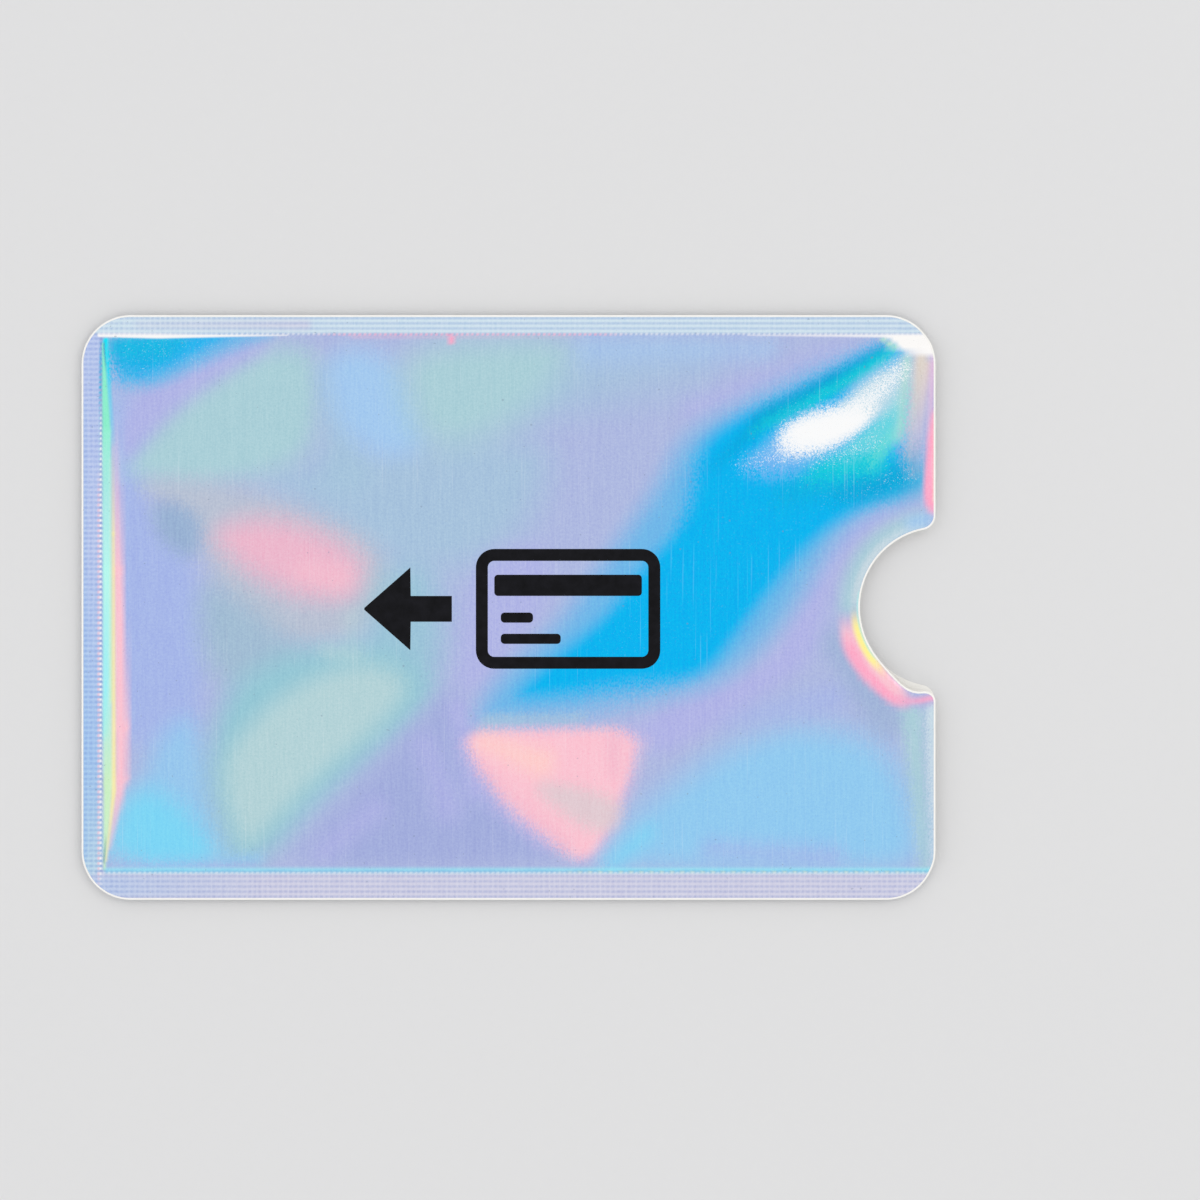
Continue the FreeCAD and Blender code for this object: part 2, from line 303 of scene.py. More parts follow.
@dataclass(frozen=True)
class Ring:
    """A soft arc of one tint round the thumb notch, between two angles in degrees."""

    tint: Tint
    radius: float
    sweep: Point
    reach: float
    soft: float
    cover: float = 1.0
    fade: float = 12.0
    centre: Point = (46.75, 0.0)

    def weight(self, x: Places, y: Places) -> Places:
        """Cover at each place: a smooth step of the distance from the arc, faded at both of its ends.

        Args:
            x: places along the sleeve.
            y: places across it.

        Returns:
            The cover.
        """
        dx, dy = x - self.centre[0], y - self.centre[1]
        angle = np.degrees(np.arctan2(dy, dx)) % 360.0
        gap = np.abs(np.hypot(dx, dy) - self.radius)
        return self.cover * faded_span(angle, self.sweep, self.fade) * soft_edge(self.reach - gap, self.soft)


@dataclass(frozen=True)
class Teeth:
    """A row of short marks of one tint along a seal line, as the sealing bar's edge leaves it."""

    tint: Tint
    line: float
    span: Point
    reach: float
    soft: float
    cover: float = 1.0
    upright: bool = True
    pitch: float = SEAL_PITCH
    fade: float = 5.0
    level: float = 0.5
    swing: float = 0.65

    def weight(self, x: Places, y: Places) -> Places:
        """Cover at each place: smooth steps of the distance from the line and of a cosine along it.

        Args:
            x: places along the sleeve.
            y: places across it.

        Returns:
            The cover, faded at both ends of the row.
        """
        along, across = (y, x) if self.upright else (x, y)
        wave = ramp(self.level + self.swing * np.cos(2.0 * math.pi * along / self.pitch))
        row = soft_edge(self.reach - np.abs(across - self.line), self.soft)
        return self.cover * faded_span(along, self.span, self.fade) * wave * row


Patches = tuple[Stroke | Facet | Ring | Teeth, ...]

# The play of colours on the front film, with some painted highlights among its patches, as marked. Later
# patches lie over earlier ones.

UPPER_LEFT = (
    Facet(Tint.PERIWINKLE, ((-44, 24), (-39, 22), (-39.5, 14), (-38, 8), (-34, 6), (-33, -4), (-33.5, -13),
        (-36, -16), (-44, -14)), 2.0),
    Facet(Tint.MIST, ((-30, 15), (-6, 19), (5, 18), (3, 10), (-2, 5), (-11, 3), (-20, 9)), 3.4, 0.85),
    Facet(Tint.TEAL, ((-42, 14.8), (-38.4, 19), (-34.6, 22.6), (-30.2, 25.6), (-25.6, 28.4), (-20.8, 27.8),
        (-20.2, 22), (-21.5, 16.6), (-27, 14), (-36, 13)), 2.2),
    Stroke(Tint.MIST, (-19.6, 25), (-17.5, 15), (1.2, 2.4), 1.8, 0.85),
    Facet(Tint.PALE_BLUE, ((-20, 28), (-13, 28), (-9.5, 22), (-9, 17), (-14, 16), (-19, 20)), 2.2),
    Stroke(Tint.MIST, (2, 24), (20, 26), (3.6, 2.4), 3.4, 0.9, 0.5),
    Facet(Tint.TEAL, ((-12, 29), (8, 29.6), (4.6, 23.5), (-1, 18.6), (-7, 17), (-11, 20)), 3.2),
    Stroke(Tint.PALE_BLUE, (9, 28), (28, 28), (1.6, 1.0), 2.2, 0.6),
    Stroke(Tint.ORCHID, (20, 21.6), (36, 27.9), (1.0, 0.8), 1.8, 0.7),
    Facet(Tint.ORCHID, ((-42.6, 17.6), (-41.4, 15.6), (-38.6, 19.2), (-34.8, 22.7), (-30.2, 25.8),
        (-25, 28.6), (-31, 28.7), (-36, 26.7), (-41, 23)), 1.3, 0.85),
    Facet(Tint.BLUE, ((-44, 30), (-43.5, 24), (-38.5, 23.6), (-34.5, 25.6), (-28.5, 28.4),
        (-24, 30)), 1.0, 0.9),
    Facet(Tint.CYAN, ((-44.5, 30), (-43, 25), (-39, 24.7), (-35, 26.7), (-31, 29), (-28, 30.4)), 1.1, 0.92),
    Facet(Tint.DEEP_CYAN, ((-44.5, 30), (-43.4, 26), (-39.6, 25.6), (-36.4, 27), (-33.6, 29.6)), 0.9, 0.6),
    Stroke(Tint.TURQUOISE, (-42.5, 28.6), (-36.5, 28.4), (0.5, 0.3), 1.4, 0.5),
)

LEFT_SIDE = (
    Facet(Tint.PEARL, ((-41, 13.9), (-30, 13.6), (-20, 10), (-14, 7), (-12, 0), (-18, -4), (-25, -4),
        (-31, 1), (-33, 6), (-36, 10.5)), 2.0, 0.8),
    Facet(Tint.HAZE, ((-33.4, 3), (-29, 1), (-24, -3), (-20, -5.5), (-24, -8), (-30, -9.5),
        (-33.4, -5)), 2.4, 0.85),
    Facet(Tint.STEEL, ((-38.8, 11), (-36, 11.6), (-33.4, 9.8), (-33.2, 6.6), (-35, 5.2),
        (-37.8, 7.4)), 1.5, 0.95),
    Facet(Tint.PINK, ((-32.4, 8.4), (-26.5, 10), (-19.4, 8), (-15.4, 4.8), (-16.6, 1), (-22.6, 1),
        (-29, 4.2)), 2.4, 0.95),
    Stroke(Tint.BLUSH, (-22, 4), (-18.4, 3), (0.6, 0.8), 2.2, 0.6),
)

LOWER_LEFT = (
    Facet(Tint.ORCHID, ((-3, 6), (4, 7), (5, 2), (1, -4), (-2.6, -9), (-6, -9.4), (-5, -3)), 2.0, 0.75),
    Facet(Tint.DEEP_TEAL, ((-14, 4), (-9.6, 4.6), (-7.6, 2), (-7, -2), (-7.6, -7), (-10, -12), (-16, -10),
        (-15.6, -2)), 2.6, 0.75),
    Stroke(Tint.PALE_TEAL, (-16.8, -8), (-17, -1), (0.8, 0.4), 1.8, 0.8, 0.5),
    Stroke(Tint.PALE_TEAL, (-17, -6.4), (-20.5, -4.8), (0.8, 0.4), 1.6, 0.8, 0.4),
    Facet(Tint.SKY, ((-40, -17), (-35, -11), (-32.5, -16), (-31.5, -28), (-41, -28.5)), 2.2, 0.8),
    Facet(Tint.DEEP_TEAL, ((-13, -4), (-8, -8), (-10.5, -12.5), (-16.5, -17.5), (-22, -22.6), (-26, -27),
        (-30, -28), (-32, -23), (-32.8, -17), (-31, -9.5), (-26, -5.4), (-19, -4)), 2.3),
    Facet(Tint.PALE_TEAL, ((-14, -6), (-10.5, -8.5), (-14, -13), (-20.5, -18.1), (-26, -23.8), (-28.5, -26),
        (-30.8, -21), (-30.8, -16), (-26, -10.5), (-20, -7)), 2.0),
    Stroke(Tint.PALE_TEAL, (-19.4, -4.8), (-16.6, -5.2), (0.6, 0.6), 1.3, 0.7),
    Stroke(Tint.SKY, (-30.6, -27.5), (-27.2, -27.3), (0.4, 0.4), 1.1, 0.8),
    Facet(Tint.BRIGHT_SKY, ((-44, -28), (-42.8, -21.6), (-40, -19.4), (-36.5, -20.4), (-32.6, -24.4),
        (-30.5, -28)), 2.3, 0.9),
    Stroke(Tint.PERIWINKLE, (-42, -28.2), (-28, -28.2), (0.3, 0.3), 0.9, 0.6),
)

BOTTOM_MIDDLE = (
    Facet(Tint.VIOLET, ((-14, -17.5), (-8, -10), (-5.5, -9), (-4, -14), (-2, -19), (3, -24), (7, -27.8),
        (-24, -28.2), (-20, -23)), 2.0),
    Stroke(Tint.ORCHID, (-20, -26.5), (-14.5, -22), (1.0, 1.2), 1.8, 0.7),
    Stroke(Tint.ORCHID, (-9, -15), (-6.5, -21.5), (1.0, 1.4), 2.0, 0.8),
    Stroke(Tint.ORCHID, (-5.5, -11), (-3.6, -19), (1.0, 1.2), 1.3, 0.85),
    Stroke(Tint.ORCHID, (-3, -20), (4, -25.5), (1.0, 0.8), 1.2, 0.7),
)

LOWER_RIGHT = (
    Facet(Tint.SKY, ((14, -22), (18, -19), (24, -15), (31, -12.5), (40, -14), (44, -20), (45, -28.5),
        (34, -28.5), (10, -28.5), (11, -25)), 3.0),
    Stroke(Tint.PERIWINKLE, (22, -26.2), (35, -27), (0.8, 1.0), 1.8, 0.75),
    Stroke(Tint.PERIWINKLE, (24, -12), (35, -10), (1.0, 1.4), 2.0, 0.7),
    Facet(Tint.ORCHID, ((14, -12.5), (20, -9.2), (28, -6.5), (32, 1), (35, 7), (38, 10), (45.5, 11.2),
        (45.5, 9), (39, 8.5), (36, 5), (34.5, 0), (33, -6), (26, -10.5), (19, -15),
        (15.5, -16)), 1.6, 0.95),
    Stroke(Tint.STEEL, (35.5, -4), (41, -12), (1.2, 2.0), 1.8, 0.6),
    Stroke(Tint.BRIGHT_SKY, (11.4, -27.8), (15, -24.4), (0.8, 0.6), 1.8, 0.7),
    Stroke(Tint.TEAL, (43.8, -11.5), (45.3, -28.4), (1.2, 0.5), 1.1, 0.95),
    # A painted sheen: a pale strip along the drooping mouth edge below the notch.
    Stroke(Tint.FROST, (46, -11), (46.3, -27.6), (0.7, 0.2), 0.7, 0.9),
)

CYAN_SWEEP = (
    Facet(Tint.BLUE, ((42, 28.3), (34, 26.2), (26, 22.4), (19.2, 18.8), (16.4, 13.4), (13.4, 9), (10.4, 5),
        (5.4, -2), (0, -6.5), (-3, -10.5), (-3, -12.6), (6, -12), (16, -10), (23, -8.2), (28.2, -3.6),
        (32, 1.6), (35.4, 7.2), (39, 10.5), (44.5, 11.8), (45, 17), (40, 17)), 2.1),
    Facet(Tint.CYAN, ((43.6, 29.6), (39.5, 28.4), (35, 25.6), (29, 22.6), (24, 20.4), (20.4, 17.2),
        (19.6, 12), (18, 8), (14, 4), (10.5, -1), (6, -4.5), (2, -8), (0.6, -10), (6, -9.6), (12, -8.7),
        (18.6, -8.2), (22.2, -6.6), (25, -2.8), (28, 1.2), (31.2, 5.2), (34.4, 8.4), (38.4, 10.8),
        (43, 12.4), (43.4, 15.6), (42.4, 20), (43.2, 27.4)), 1.3),
)

BLUSH_FACET = (
    Stroke(Tint.ORCHID, (13.5, -13.6), (17.5, -12.6), (1.4, 0.6), 1.4, 0.6),
    Facet(Tint.MAUVE, ((-4.9, -13.5), (15.2, -13.2), (14.2, -17), (12.3, -22), (10, -26.4), (7.8, -27.8),
        (4.5, -25.8), (0.6, -23), (-2.6, -19), (-4.4, -16)), 1.3, 0.7),
    Facet(Tint.BLUSH, ((-4.6, -13.4), (5, -13.3), (14, -13.2), (13.4, -17.5), (11.7, -21.6), (9.6, -26.2),
        (7.8, -27.5), (4.8, -25.2), (1, -22.4), (-2, -18.8), (-3.9, -16)), 0.75),
    Stroke(Tint.MIST, (-2.4, -12.2), (8, -12.1), (0.5, 0.35), 0.6, 0.95, 0.85),
    Stroke(Tint.PEACH, (-2.6, -14.6), (3.5, -16.8), (0.8, 1.4), 1.5, 0.9),
    Stroke(Tint.PINK, (-2.6, -17.6), (6.4, -25.6), (0.2, 0.5), 0.9, 0.6),
    Stroke(Tint.PINK, (11.4, -14.6), (11.6, -18), (0.8, 0.4), 1.2, 0.6),
    Facet(Tint.SAND, ((2.4, -19), (7, -19.2), (12.4, -21), (12, -23.8), (9.4, -24.6),
        (5, -21.8)), 1.2, 0.85),
)

# Round the glare by the mouth's upper corner. The WHITE facet and the FROST facet beside it are a painted
# highlight, which the back panel shows too, turned half round; the tints round them are the film's fringes of
# colour.
GLARE_CORNER = (
    Stroke(Tint.AZURE, (22.8, 15.6), (28, 20.8), (0.5, 0.8), 1.2, 0.4, 0.9),
    Stroke(Tint.AZURE, (28, 20.8), (36, 24.9), (0.8, 1.0), 1.0, 0.95),
    Stroke(Tint.AZURE, (36, 24.7), (41, 28.2), (0.8, 0.6), 1.0, 0.9),
    Stroke(Tint.TURQUOISE, (27.3, 19.6), (33.6, 22.8), (0.5, 0.6), 0.8, 0.8),
    Stroke(Tint.TURQUOISE, (33.6, 22.8), (41.5, 27.6), (0.5, 0.6), 0.7, 0.9),
    Stroke(Tint.DEEP_CYAN, (30, 12.4), (44, 14.2), (1.0, 1.6), 1.8, 0.95),
    Facet(Tint.AZURE, ((35, 11), (39.6, 11.6), (44, 13), (44, 16.6), (40, 14.8), (36, 13.4)), 1.5, 0.55),
    Stroke(Tint.TURQUOISE, (33.6, 14.8), (39.5, 15.8), (1.1, 1.3), 1.3),
    Stroke(Tint.TURQUOISE, (39.5, 16), (42, 21), (1.1, 0.6), 1.2),
    Facet(Tint.CORNFLOWER, ((25.8, 16.2), (28.8, 18), (31, 16.8), (33.4, 15.6), (30, 14.4),
        (27, 14.8)), 1.1, 0.85),
    Facet(Tint.PALE_BLUE, ((28.6, 18.4), (30.6, 16.4), (35.4, 16.8), (37.6, 18.2), (36.4, 21.4),
        (32.6, 20.6), (30, 20)), 1.2, 0.6),
    Facet(Tint.LAGOON, ((35.6, 16.4), (39, 16.6), (42.4, 18.4), (43.4, 22), (43, 24.6), (40.4, 21),
        (37.6, 18.6)), 1.1, 0.95),
    Facet(Tint.FROST, ((37, 21.4), (40.4, 20.4), (42.6, 22.6), (43.4, 26.4), (41.4, 26.6), (38.8, 24.8),
        (36.4, 23)), 1.1, 0.8),
    Facet(Tint.WHITE, ((29.6, 18), (30.4, 19.8), (33, 20.9), (36, 21.7), (39.2, 21.9), (39.6, 20.4),
        (37.2, 18.7), (34.4, 17.3), (31.2, 16.9)), 0.8),
    Stroke(Tint.MINT, (40, 16), (42.2, 19.4), (0.3, 0.3), 1.0, 0.5),
    Stroke(Tint.STEEL, (44.2, 14.6), (43.6, 17), (0.4, 0.7), 0.8, 0.8),
)

GLARE_RIM = (
    Stroke(Tint.SEA, (42.4, 18.4), (43.3, 26.8), (0.4, 0.5), 0.8, 0.7, 0.95),
    Stroke(Tint.SAND, (44.3, 16.6), (45.4, 26.2), (0.3, 0.6), 0.5, 0.1, 1.0),
    Stroke(Tint.CREAM, (43.3, 16.2), (44.8, 26.8), (0.35, 0.75), 0.6, 0.2, 1.0),
    Stroke(Tint.MAUVE, (45.6, 18), (46.15, 26.8), (0.25, 0.35), 0.4, 0.6, 1.0),
)

MOUTH_EDGE = (
    # A painted highlight: the white corner facet at the top of the mouth.
    Facet(Tint.WHITE, ((40.4, 29.9), (47.4, 30), (47.4, 27.2), (44.6, 27.4), (43, 27.7),
        (42, 28.6)), 0.4, rounds=1),
    Stroke(Tint.PALE_LIME, (40.7, 29.1), (41.9, 28.1), (0.15, 0.2), 0.35, 0.85),
    Facet(Tint.ROSE, ((45.5, 18), (45.1, 14), (45.1, 11.6), (45.7, 10), (46.8, 10.2), (46.8, 21.5),
        (46, 21.5)), 0.4),
    Stroke(Tint.PEACH, (46.2, 21), (46.2, 11.5), (0.05, 0.15), 0.15, 0.5, 0.9),
)

NOTCH_RIM = (
    Ring(Tint.TEAL, 9.8, (92, 190), 1.0, 1.1, 0.85),
    Ring(Tint.PEARL, 9.1, (120, 186), 0.3, 0.5, 0.7, 16.0),
    Ring(Tint.FROST, 9.1, (94, 184), 0.4, 0.6, 0.7),
    Ring(Tint.PALE_BLUE, 9.6, (88, 118), 0.8, 0.8, 0.8),
    Ring(Tint.BLUSH, 10.0, (181, 255), 1.0, 0.5, 0.95, 18.0),
    Ring(Tint.ROSE, 10.6, (190, 256), 0.7, 0.6, 0.9, 18.0),
    Ring(Tint.BLUSH, 9.4, (206, 252), 0.6, 0.4, 0.95, 14.0),
    Stroke(Tint.ROSE, (42.6, -9.2), (46.3, -9.5), (0.55, 0.3), 0.45, 0.5, 0.9),
    Ring(Tint.LEMON, 9.15, (178, 234), 0.45, 0.35, 1.0, 18.0),
    Ring(Tint.PALE_MINT, 8.85, (165, 222), 0.1, 0.15, 0.8, 8.0),
)

END_SHOULDER = (
    Stroke(Tint.PALE_BLUE, (-42.6, 25), (-42.2, 14), (0.3, 0.5), 0.8, 0.2, 0.6),
    Stroke(Tint.BLUSH, (-42.5, 21), (-42.3, 4), (0.2, 0.45), 0.4, 0.0, 1.0),
    Stroke(Tint.BLUSH, (-42.3, 4), (-41.9, -13), (0.45, 0.7), 0.4),
    Stroke(Tint.BLUSH, (-41.9, -13), (-41.95, -18.5), (0.7, 0.6), 0.5),
    Stroke(Tint.BLUSH, (-41.95, -18.5), (-43.2, -26), (0.6, 0.2), 0.4, 1.0, 0.4),
    Stroke(Tint.AQUA, (-43.7, 29), (-42.9, 18), (0.3, 0.25), 0.2, 1.0, 0.2),
    Stroke(Tint.MINT, (-44.0, 28.6), (-43.6, 19), (0.12, 0.5), 0.15, 1.0, 1.0),
    Stroke(Tint.MINT, (-43.6, 19), (-43.55, 4), (0.5, 0.5), 0.15, 1.0, 0.0),
    Stroke(Tint.PALE_AQUA, (-43.6, 19), (-43.55, 4), (0.5, 0.5), 0.15, 0.2, 1.0),
    Stroke(Tint.PALE_AQUA, (-43.55, 4), (-43.5, -18), (0.5, 0.5), 0.15, 1.0, 0.7),
    Stroke(Tint.ICE, (-43.7, 0), (-43.75, -14), (0.3, 0.3), 0.25, 0.2, 0.9),
    Stroke(Tint.PALE_LIME, (-43.45, -9), (-43.4, -19), (0.5, 0.55), 0.25, 0.0, 1.0),
    Stroke(Tint.PALE_LIME, (-43.4, -19), (-43.85, -28.4), (0.55, 0.1), 0.25, 1.0),
    Stroke(Tint.PALE_LIME, (-43.1, 16), (-43.05, -10), (0.1, 0.15), 0.25, 0.3, 0.9),
    Stroke(Tint.PALE_LEMON, (-42.85, 20), (-42.8, 8), (0.05, 0.12), 0.22, 0.0, 1.0),
    Stroke(Tint.PALE_LEMON, (-42.8, 8), (-42.75, -20), (0.12, 0.22), 0.22),
    Stroke(Tint.PALE_LEMON, (-42.75, -20), (-43.6, -27.4), (0.22, 0.12), 0.2, 1.0, 0.6),
)

WELDED_BANDS = (
    Stroke(Tint.TOP_BAND, (-60, 31.0), (60, 31.0), (1.3, 1.3), 0.12),
    Stroke(Tint.LOW_BAND, (-40, 30.7), (-22, 30.7), (0.5, 0.5), 0.6, 0.3, 0.8),
    Stroke(Tint.LOW_BAND, (-60, -30.6), (60, -30.6), (1.75, 1.75), 0.12),
    Stroke(Tint.PALE_BLUE, (-46, -30.3), (-26, -30.3), (1.2, 1.2), 0.5, 0.5, 0.0),
    Facet(Tint.END_BAND, ((-50, 29.6), (-44.4, 29.6), (-44.4, -28.6), (-50, -28.6)), 0.12, rounds=0),
    Stroke(Tint.SKY, (-45.3, 6), (-45.3, -28), (1.0, 1.0), 0.4, 0.0, 0.7),
    Stroke(Tint.FROST, (-45.3, -16), (-45.3, -28), (1.0, 1.0), 0.4, 0.0, 0.6),
    Stroke(Tint.PALE_BLUE, (-46.1, 22), (-46.1, -27), (0.2, 0.3), 0.5, 0.3, 0.7),
    # Painted highlights: white lines along the foot of the top shoulder, where it rises from the band.
    Stroke(Tint.WHITE, (-44.4, 29.6), (-38, 29.5), (0.22, 0.28), 0.12),
    Stroke(Tint.WHITE, (-38, 29.5), (-24, 29.55), (0.28, 0.02), 0.12),
    Stroke(Tint.PINK, (-17, 29.35), (8, 29.35), (0.15, 0.1), 0.3, 0.35, 0.1),
    Stroke(Tint.ROSE, (-6.4, 29.5), (-6.0, 28.8), (0.2, 0.3), 0.2, 0.9),
    # A painted highlight along the foot of the top shoulder, towards the mouth.
    Stroke(Tint.WHITE, (26, 29.55), (47, 29.5), (0.02, 0.25), 0.14, 0.6, 1.0),
    # A painted highlight: a pale line along the foot of the bottom shoulder.
    Stroke(Tint.ICE, (-43.6, -28.55), (47, -28.55), (0.2, 0.2), 0.4, 0.8),
)

SEAL_TEETH = (
    Teeth(Tint.DEEP_CYAN, -44.32, (12, 29), 0.14, 0.1, 0.95),
    Teeth(Tint.BLUSH, -44.5, (-32, 16), 0.12, 0.1, 0.8),
    Teeth(Tint.WHITE, -44.28, (-32, 24), 0.12, 0.1, 1.0),
    Teeth(Tint.WHITE, 29.68, (-34, 44), 0.1, 0.1, 0.7, upright=False),
    Teeth(Tint.ROSE, 29.66, (-22, 14), 0.12, 0.1, 0.7, upright=False),
    Teeth(Tint.WHITE, -28.8, (-48, 48), 0.06, 0.08, 0.5, upright=False),
    Teeth(Tint.LEMON, -28.72, (4, 46), 0.05, 0.1, 0.75, upright=False, pitch=1.112),
)

# Where painted glints, pale grains of highlight, show on the film, and where the grains lean further. Of
# these only the cover counts.
PAINTED_GLINTS = (
    Facet(Tint.WHITE, ((28.8, 17.6), (29.8, 20), (33, 21.2), (36, 22), (39.2, 22.2), (39.8, 20.4),
        (37.4, 18.3), (34.4, 16.7), (30.8, 16.2)), 1.6),
    Stroke(Tint.WHITE, (37, 20.8), (42.6, 25.8), (1.5, 1.4), 1.5, 0.95, 0.7),
    Stroke(Tint.WHITE, (25.4, 15.4), (31, 17), (0.8, 1.4), 1.8, 0.4, 0.65),
    Stroke(Tint.WHITE, (31, 14), (41, 15.6), (1.2, 1.4), 1.9, 0.13),
    Stroke(Tint.WHITE, (29, 20.8), (38, 25), (0.5, 0.7), 1.1, 0.2),
    Stroke(Tint.WHITE, (33, 15.8), (39.8, 18), (1.0, 1.2), 1.5, 0.44),
    Stroke(Tint.WHITE, (39.4, 18.4), (42.2, 22.6), (1.2, 1.0), 1.5, 0.34),
    Stroke(Tint.WHITE, (35, 12), (43.6, 14.4), (1.0, 1.6), 1.8, 0.16, 0.26),
    Facet(Tint.WHITE, ((42, 28), (22, 18), (12, 2), (4, -8), (20, -7), (32, 5), (42, 12)), 2.0, 0.05),
    Stroke(Tint.WHITE, (44.2, 17), (44.6, 27.6), (0.9, 0.9), 0.9, 0.14),
    Facet(Tint.WHITE, ((-44, 30), (-44, 25), (-39, 24.2), (-33, 26), (-25, 28.8), (-24, 30)), 1.4, 0.17),
)

GRAINY = (
    Stroke(Tint.WHITE, (38, 24), (12, -4), (9.0, 7.0), 4.0),
    Stroke(Tint.WHITE, (-44, 28), (-34, 28.5), (3.4, 2.0), 2.0),
)

FRONT_SHEEN = (UPPER_LEFT + LEFT_SIDE + LOWER_LEFT + BOTTOM_MIDDLE + LOWER_RIGHT + CYAN_SWEEP + BLUSH_FACET
               + GLARE_CORNER)
EDGE_SHEEN = MOUTH_EDGE + NOTCH_RIM + END_SHOULDER + WELDED_BANDS + SEAL_TEETH


@dataclass(frozen=True)
class DieCut:
    """The sleeve's outline: a rounded rectangle with a round notch in the mouth edge and eased lips."""

    half_length: float
    half_width: float
    setback: float = 0.0
    corner: float = 5.3
    notch: float = 8.6
    notch_reach: float = 0.4
    lip: float = 1.6

    @property
    def corner_radius(self) -> float:
        """Radius of the four corners."""
        return self.corner - self.setback

    @property
    def notch_radius(self) -> float:
        """Radius of the thumb notch."""
        return self.notch + self.setback

    @property
    def lip_radius(self) -> float:
        """Radius of the two lips where the notch meets the mouth edge."""
        return self.lip - self.setback

    @property
    def corner_centre(self) -> Point:
        """Centre of the corner arc in the quarter with positive x and y."""
        return self.half_length - self.corner_radius, self.half_width - self.corner_radius

    @property
    def notch_x(self) -> float:
        """Where the notch's centre lies, a little beyond the uncut mouth edge."""
        return self.half_length + self.setback + self.notch_reach

    @property
    def lip_centre(self) -> Point:
        """Centre of the upper lip's arc, which touches the mouth edge and the notch."""
        x = self.half_length - self.lip_radius
        return x, math.sqrt((self.notch_radius + self.lip_radius) ** 2 - (self.notch_x - x) ** 2)

    @property
    def lip_turn(self) -> float:
        """Angle that a lip turns through, from the mouth edge to where it meets the notch."""
        return math.acos((self.notch_x - self.lip_centre[0]) / (self.notch_radius + self.lip_radius))

    def closed_end(self, y: Places) -> Places:
        """Outline of the closed end: the straight edge, drawn in along the corner arcs.

        Args:
            y: places across the sleeve.

        Returns:
            x of the edge at each of them.
        """
        centre_x, centre_y = self.corner_centre
        rise = np.clip(np.abs(y) - centre_y, 0.0, self.corner_radius)
        return -centre_x - np.sqrt(self.corner_radius ** 2 - rise ** 2)

    def mouth(self, y: Places) -> Places:
        """Outline of the mouth: the notch's arc, then a lip's arc, then the straight edge and its corner.

        Args:
            y: places across the sleeve.

        Returns:
            x of the edge at each of them.
        """
        half = np.abs(y)
        lip_x, lip_y = self.lip_centre
        meet = self.notch_radius * math.sin(self.lip_turn)
        notch = self.notch_x - np.sqrt(np.clip(self.notch_radius ** 2 - half ** 2, 0.0, None))
        lip = lip_x + np.sqrt(np.clip(self.lip_radius ** 2 - (half - lip_y) ** 2, 0.0, None))
        return np.where(half <= meet, notch, np.where(half < lip_y, lip, -self.closed_end(y)))


@dataclass(frozen=True)
class Crease:
    """A soft valley in a panel along a straight run, with a bell-shaped section."""

    start: Point
    end: Point
    depth: float
    width: float

    def drop(self, x: Places, y: Places) -> Places:
        """How far the panel drops at each place: a bell curve of the distance from the run."""
        return self.depth * bell(gap_to_run(x, y, self.start, self.end)[0], self.width)


@dataclass(frozen=True)
class Pocket:
    """How a panel rises from the welded bands over a narrow shoulder to the raised field of the pocket."""

    end: float
    top: float
    bottom: float
    rise: float
    cut: DieCut
    creases: tuple[Crease, ...]
    mouth_droop: float
    droop_reach: float = 1.1
    end_shoulder: float = 1.3
    top_shoulder: float = 1.3
    bottom_shoulder: float = 1.5
    corner_shoulder: float = 0.5
    corner_run: float = 6.0

    def lift(self, x: Places, y: Places) -> Places:
        """Share of the full rise: the product of a smooth step over each of the three shoulders.

        Args:
            x: places along the sleeve.
            y: places across it.

        Returns:
            The share. The end's shoulder narrows towards its two corners.
        """
        run = np.minimum(self.top - y, y - self.bottom) / self.corner_run
        width = self.corner_shoulder + (self.end_shoulder - self.corner_shoulder) * ramp(run)
        sides = ramp((self.top - y) / self.top_shoulder) * ramp((y - self.bottom) / self.bottom_shoulder)
        return ramp((x - self.end) / width) * sides

    def height(self, x: Places, y: Places) -> Places:
        """Height over the welded level: the lift's share of the rise less the creases and the mouth's droop.

        Drops that meet are joined by the cube root of the sum of their cubes, so that crossings stay smooth
        and no deeper than the deepest valley by much.

        Args:
            x: places along the sleeve.
            y: places across it.

        Returns:
            The height in millimetres.
        """
        cubes = (self.mouth_droop * bell(self.cut.mouth(y) - x, self.droop_reach)) ** 3
        for crease in self.creases:
            cubes = cubes + crease.drop(x, y) ** 3
        return self.lift(x, y) * (self.rise - np.minimum(np.cbrt(cubes), self.rise))


@dataclass(frozen=True)
class Detail:
    """How finely a layer is sampled: steps in millimetres, and turns along the outline's arcs.

    The bands cut each step of the field into split parts.
    """

    field_step: float
    band_step: float
    split: int
    shoulder_step: float = 0.16
    shoulder_row_step: float = 0.128
    shoulder_margin: float = 0.9
    mouth_step: float = 0.26
    mouth_zone: float = 3.6
    notch_turn: float = math.radians(3.9)
    lip_turn: float = math.radians(7.8)
    corner_turn: float = math.radians(5.5)


FILM_DETAIL = Detail(field_step=0.62, band_step=0.14, split=4, corner_turn=math.radians(2.2))
CORE_DETAIL = Detail(field_step=0.62, band_step=0.5, split=1)
NO_TRIANGLES = np.zeros((0, 3), int)


def tiles(block: np.ndarray) -> np.ndarray:
    """Four-sided faces over a block of vertex numbers, turning left seen from above."""
    corners = (block[:-1, :-1], block[:-1, 1:], block[1:, 1:], block[1:, :-1])
    return np.stack(corners, -1).reshape(-1, 4)


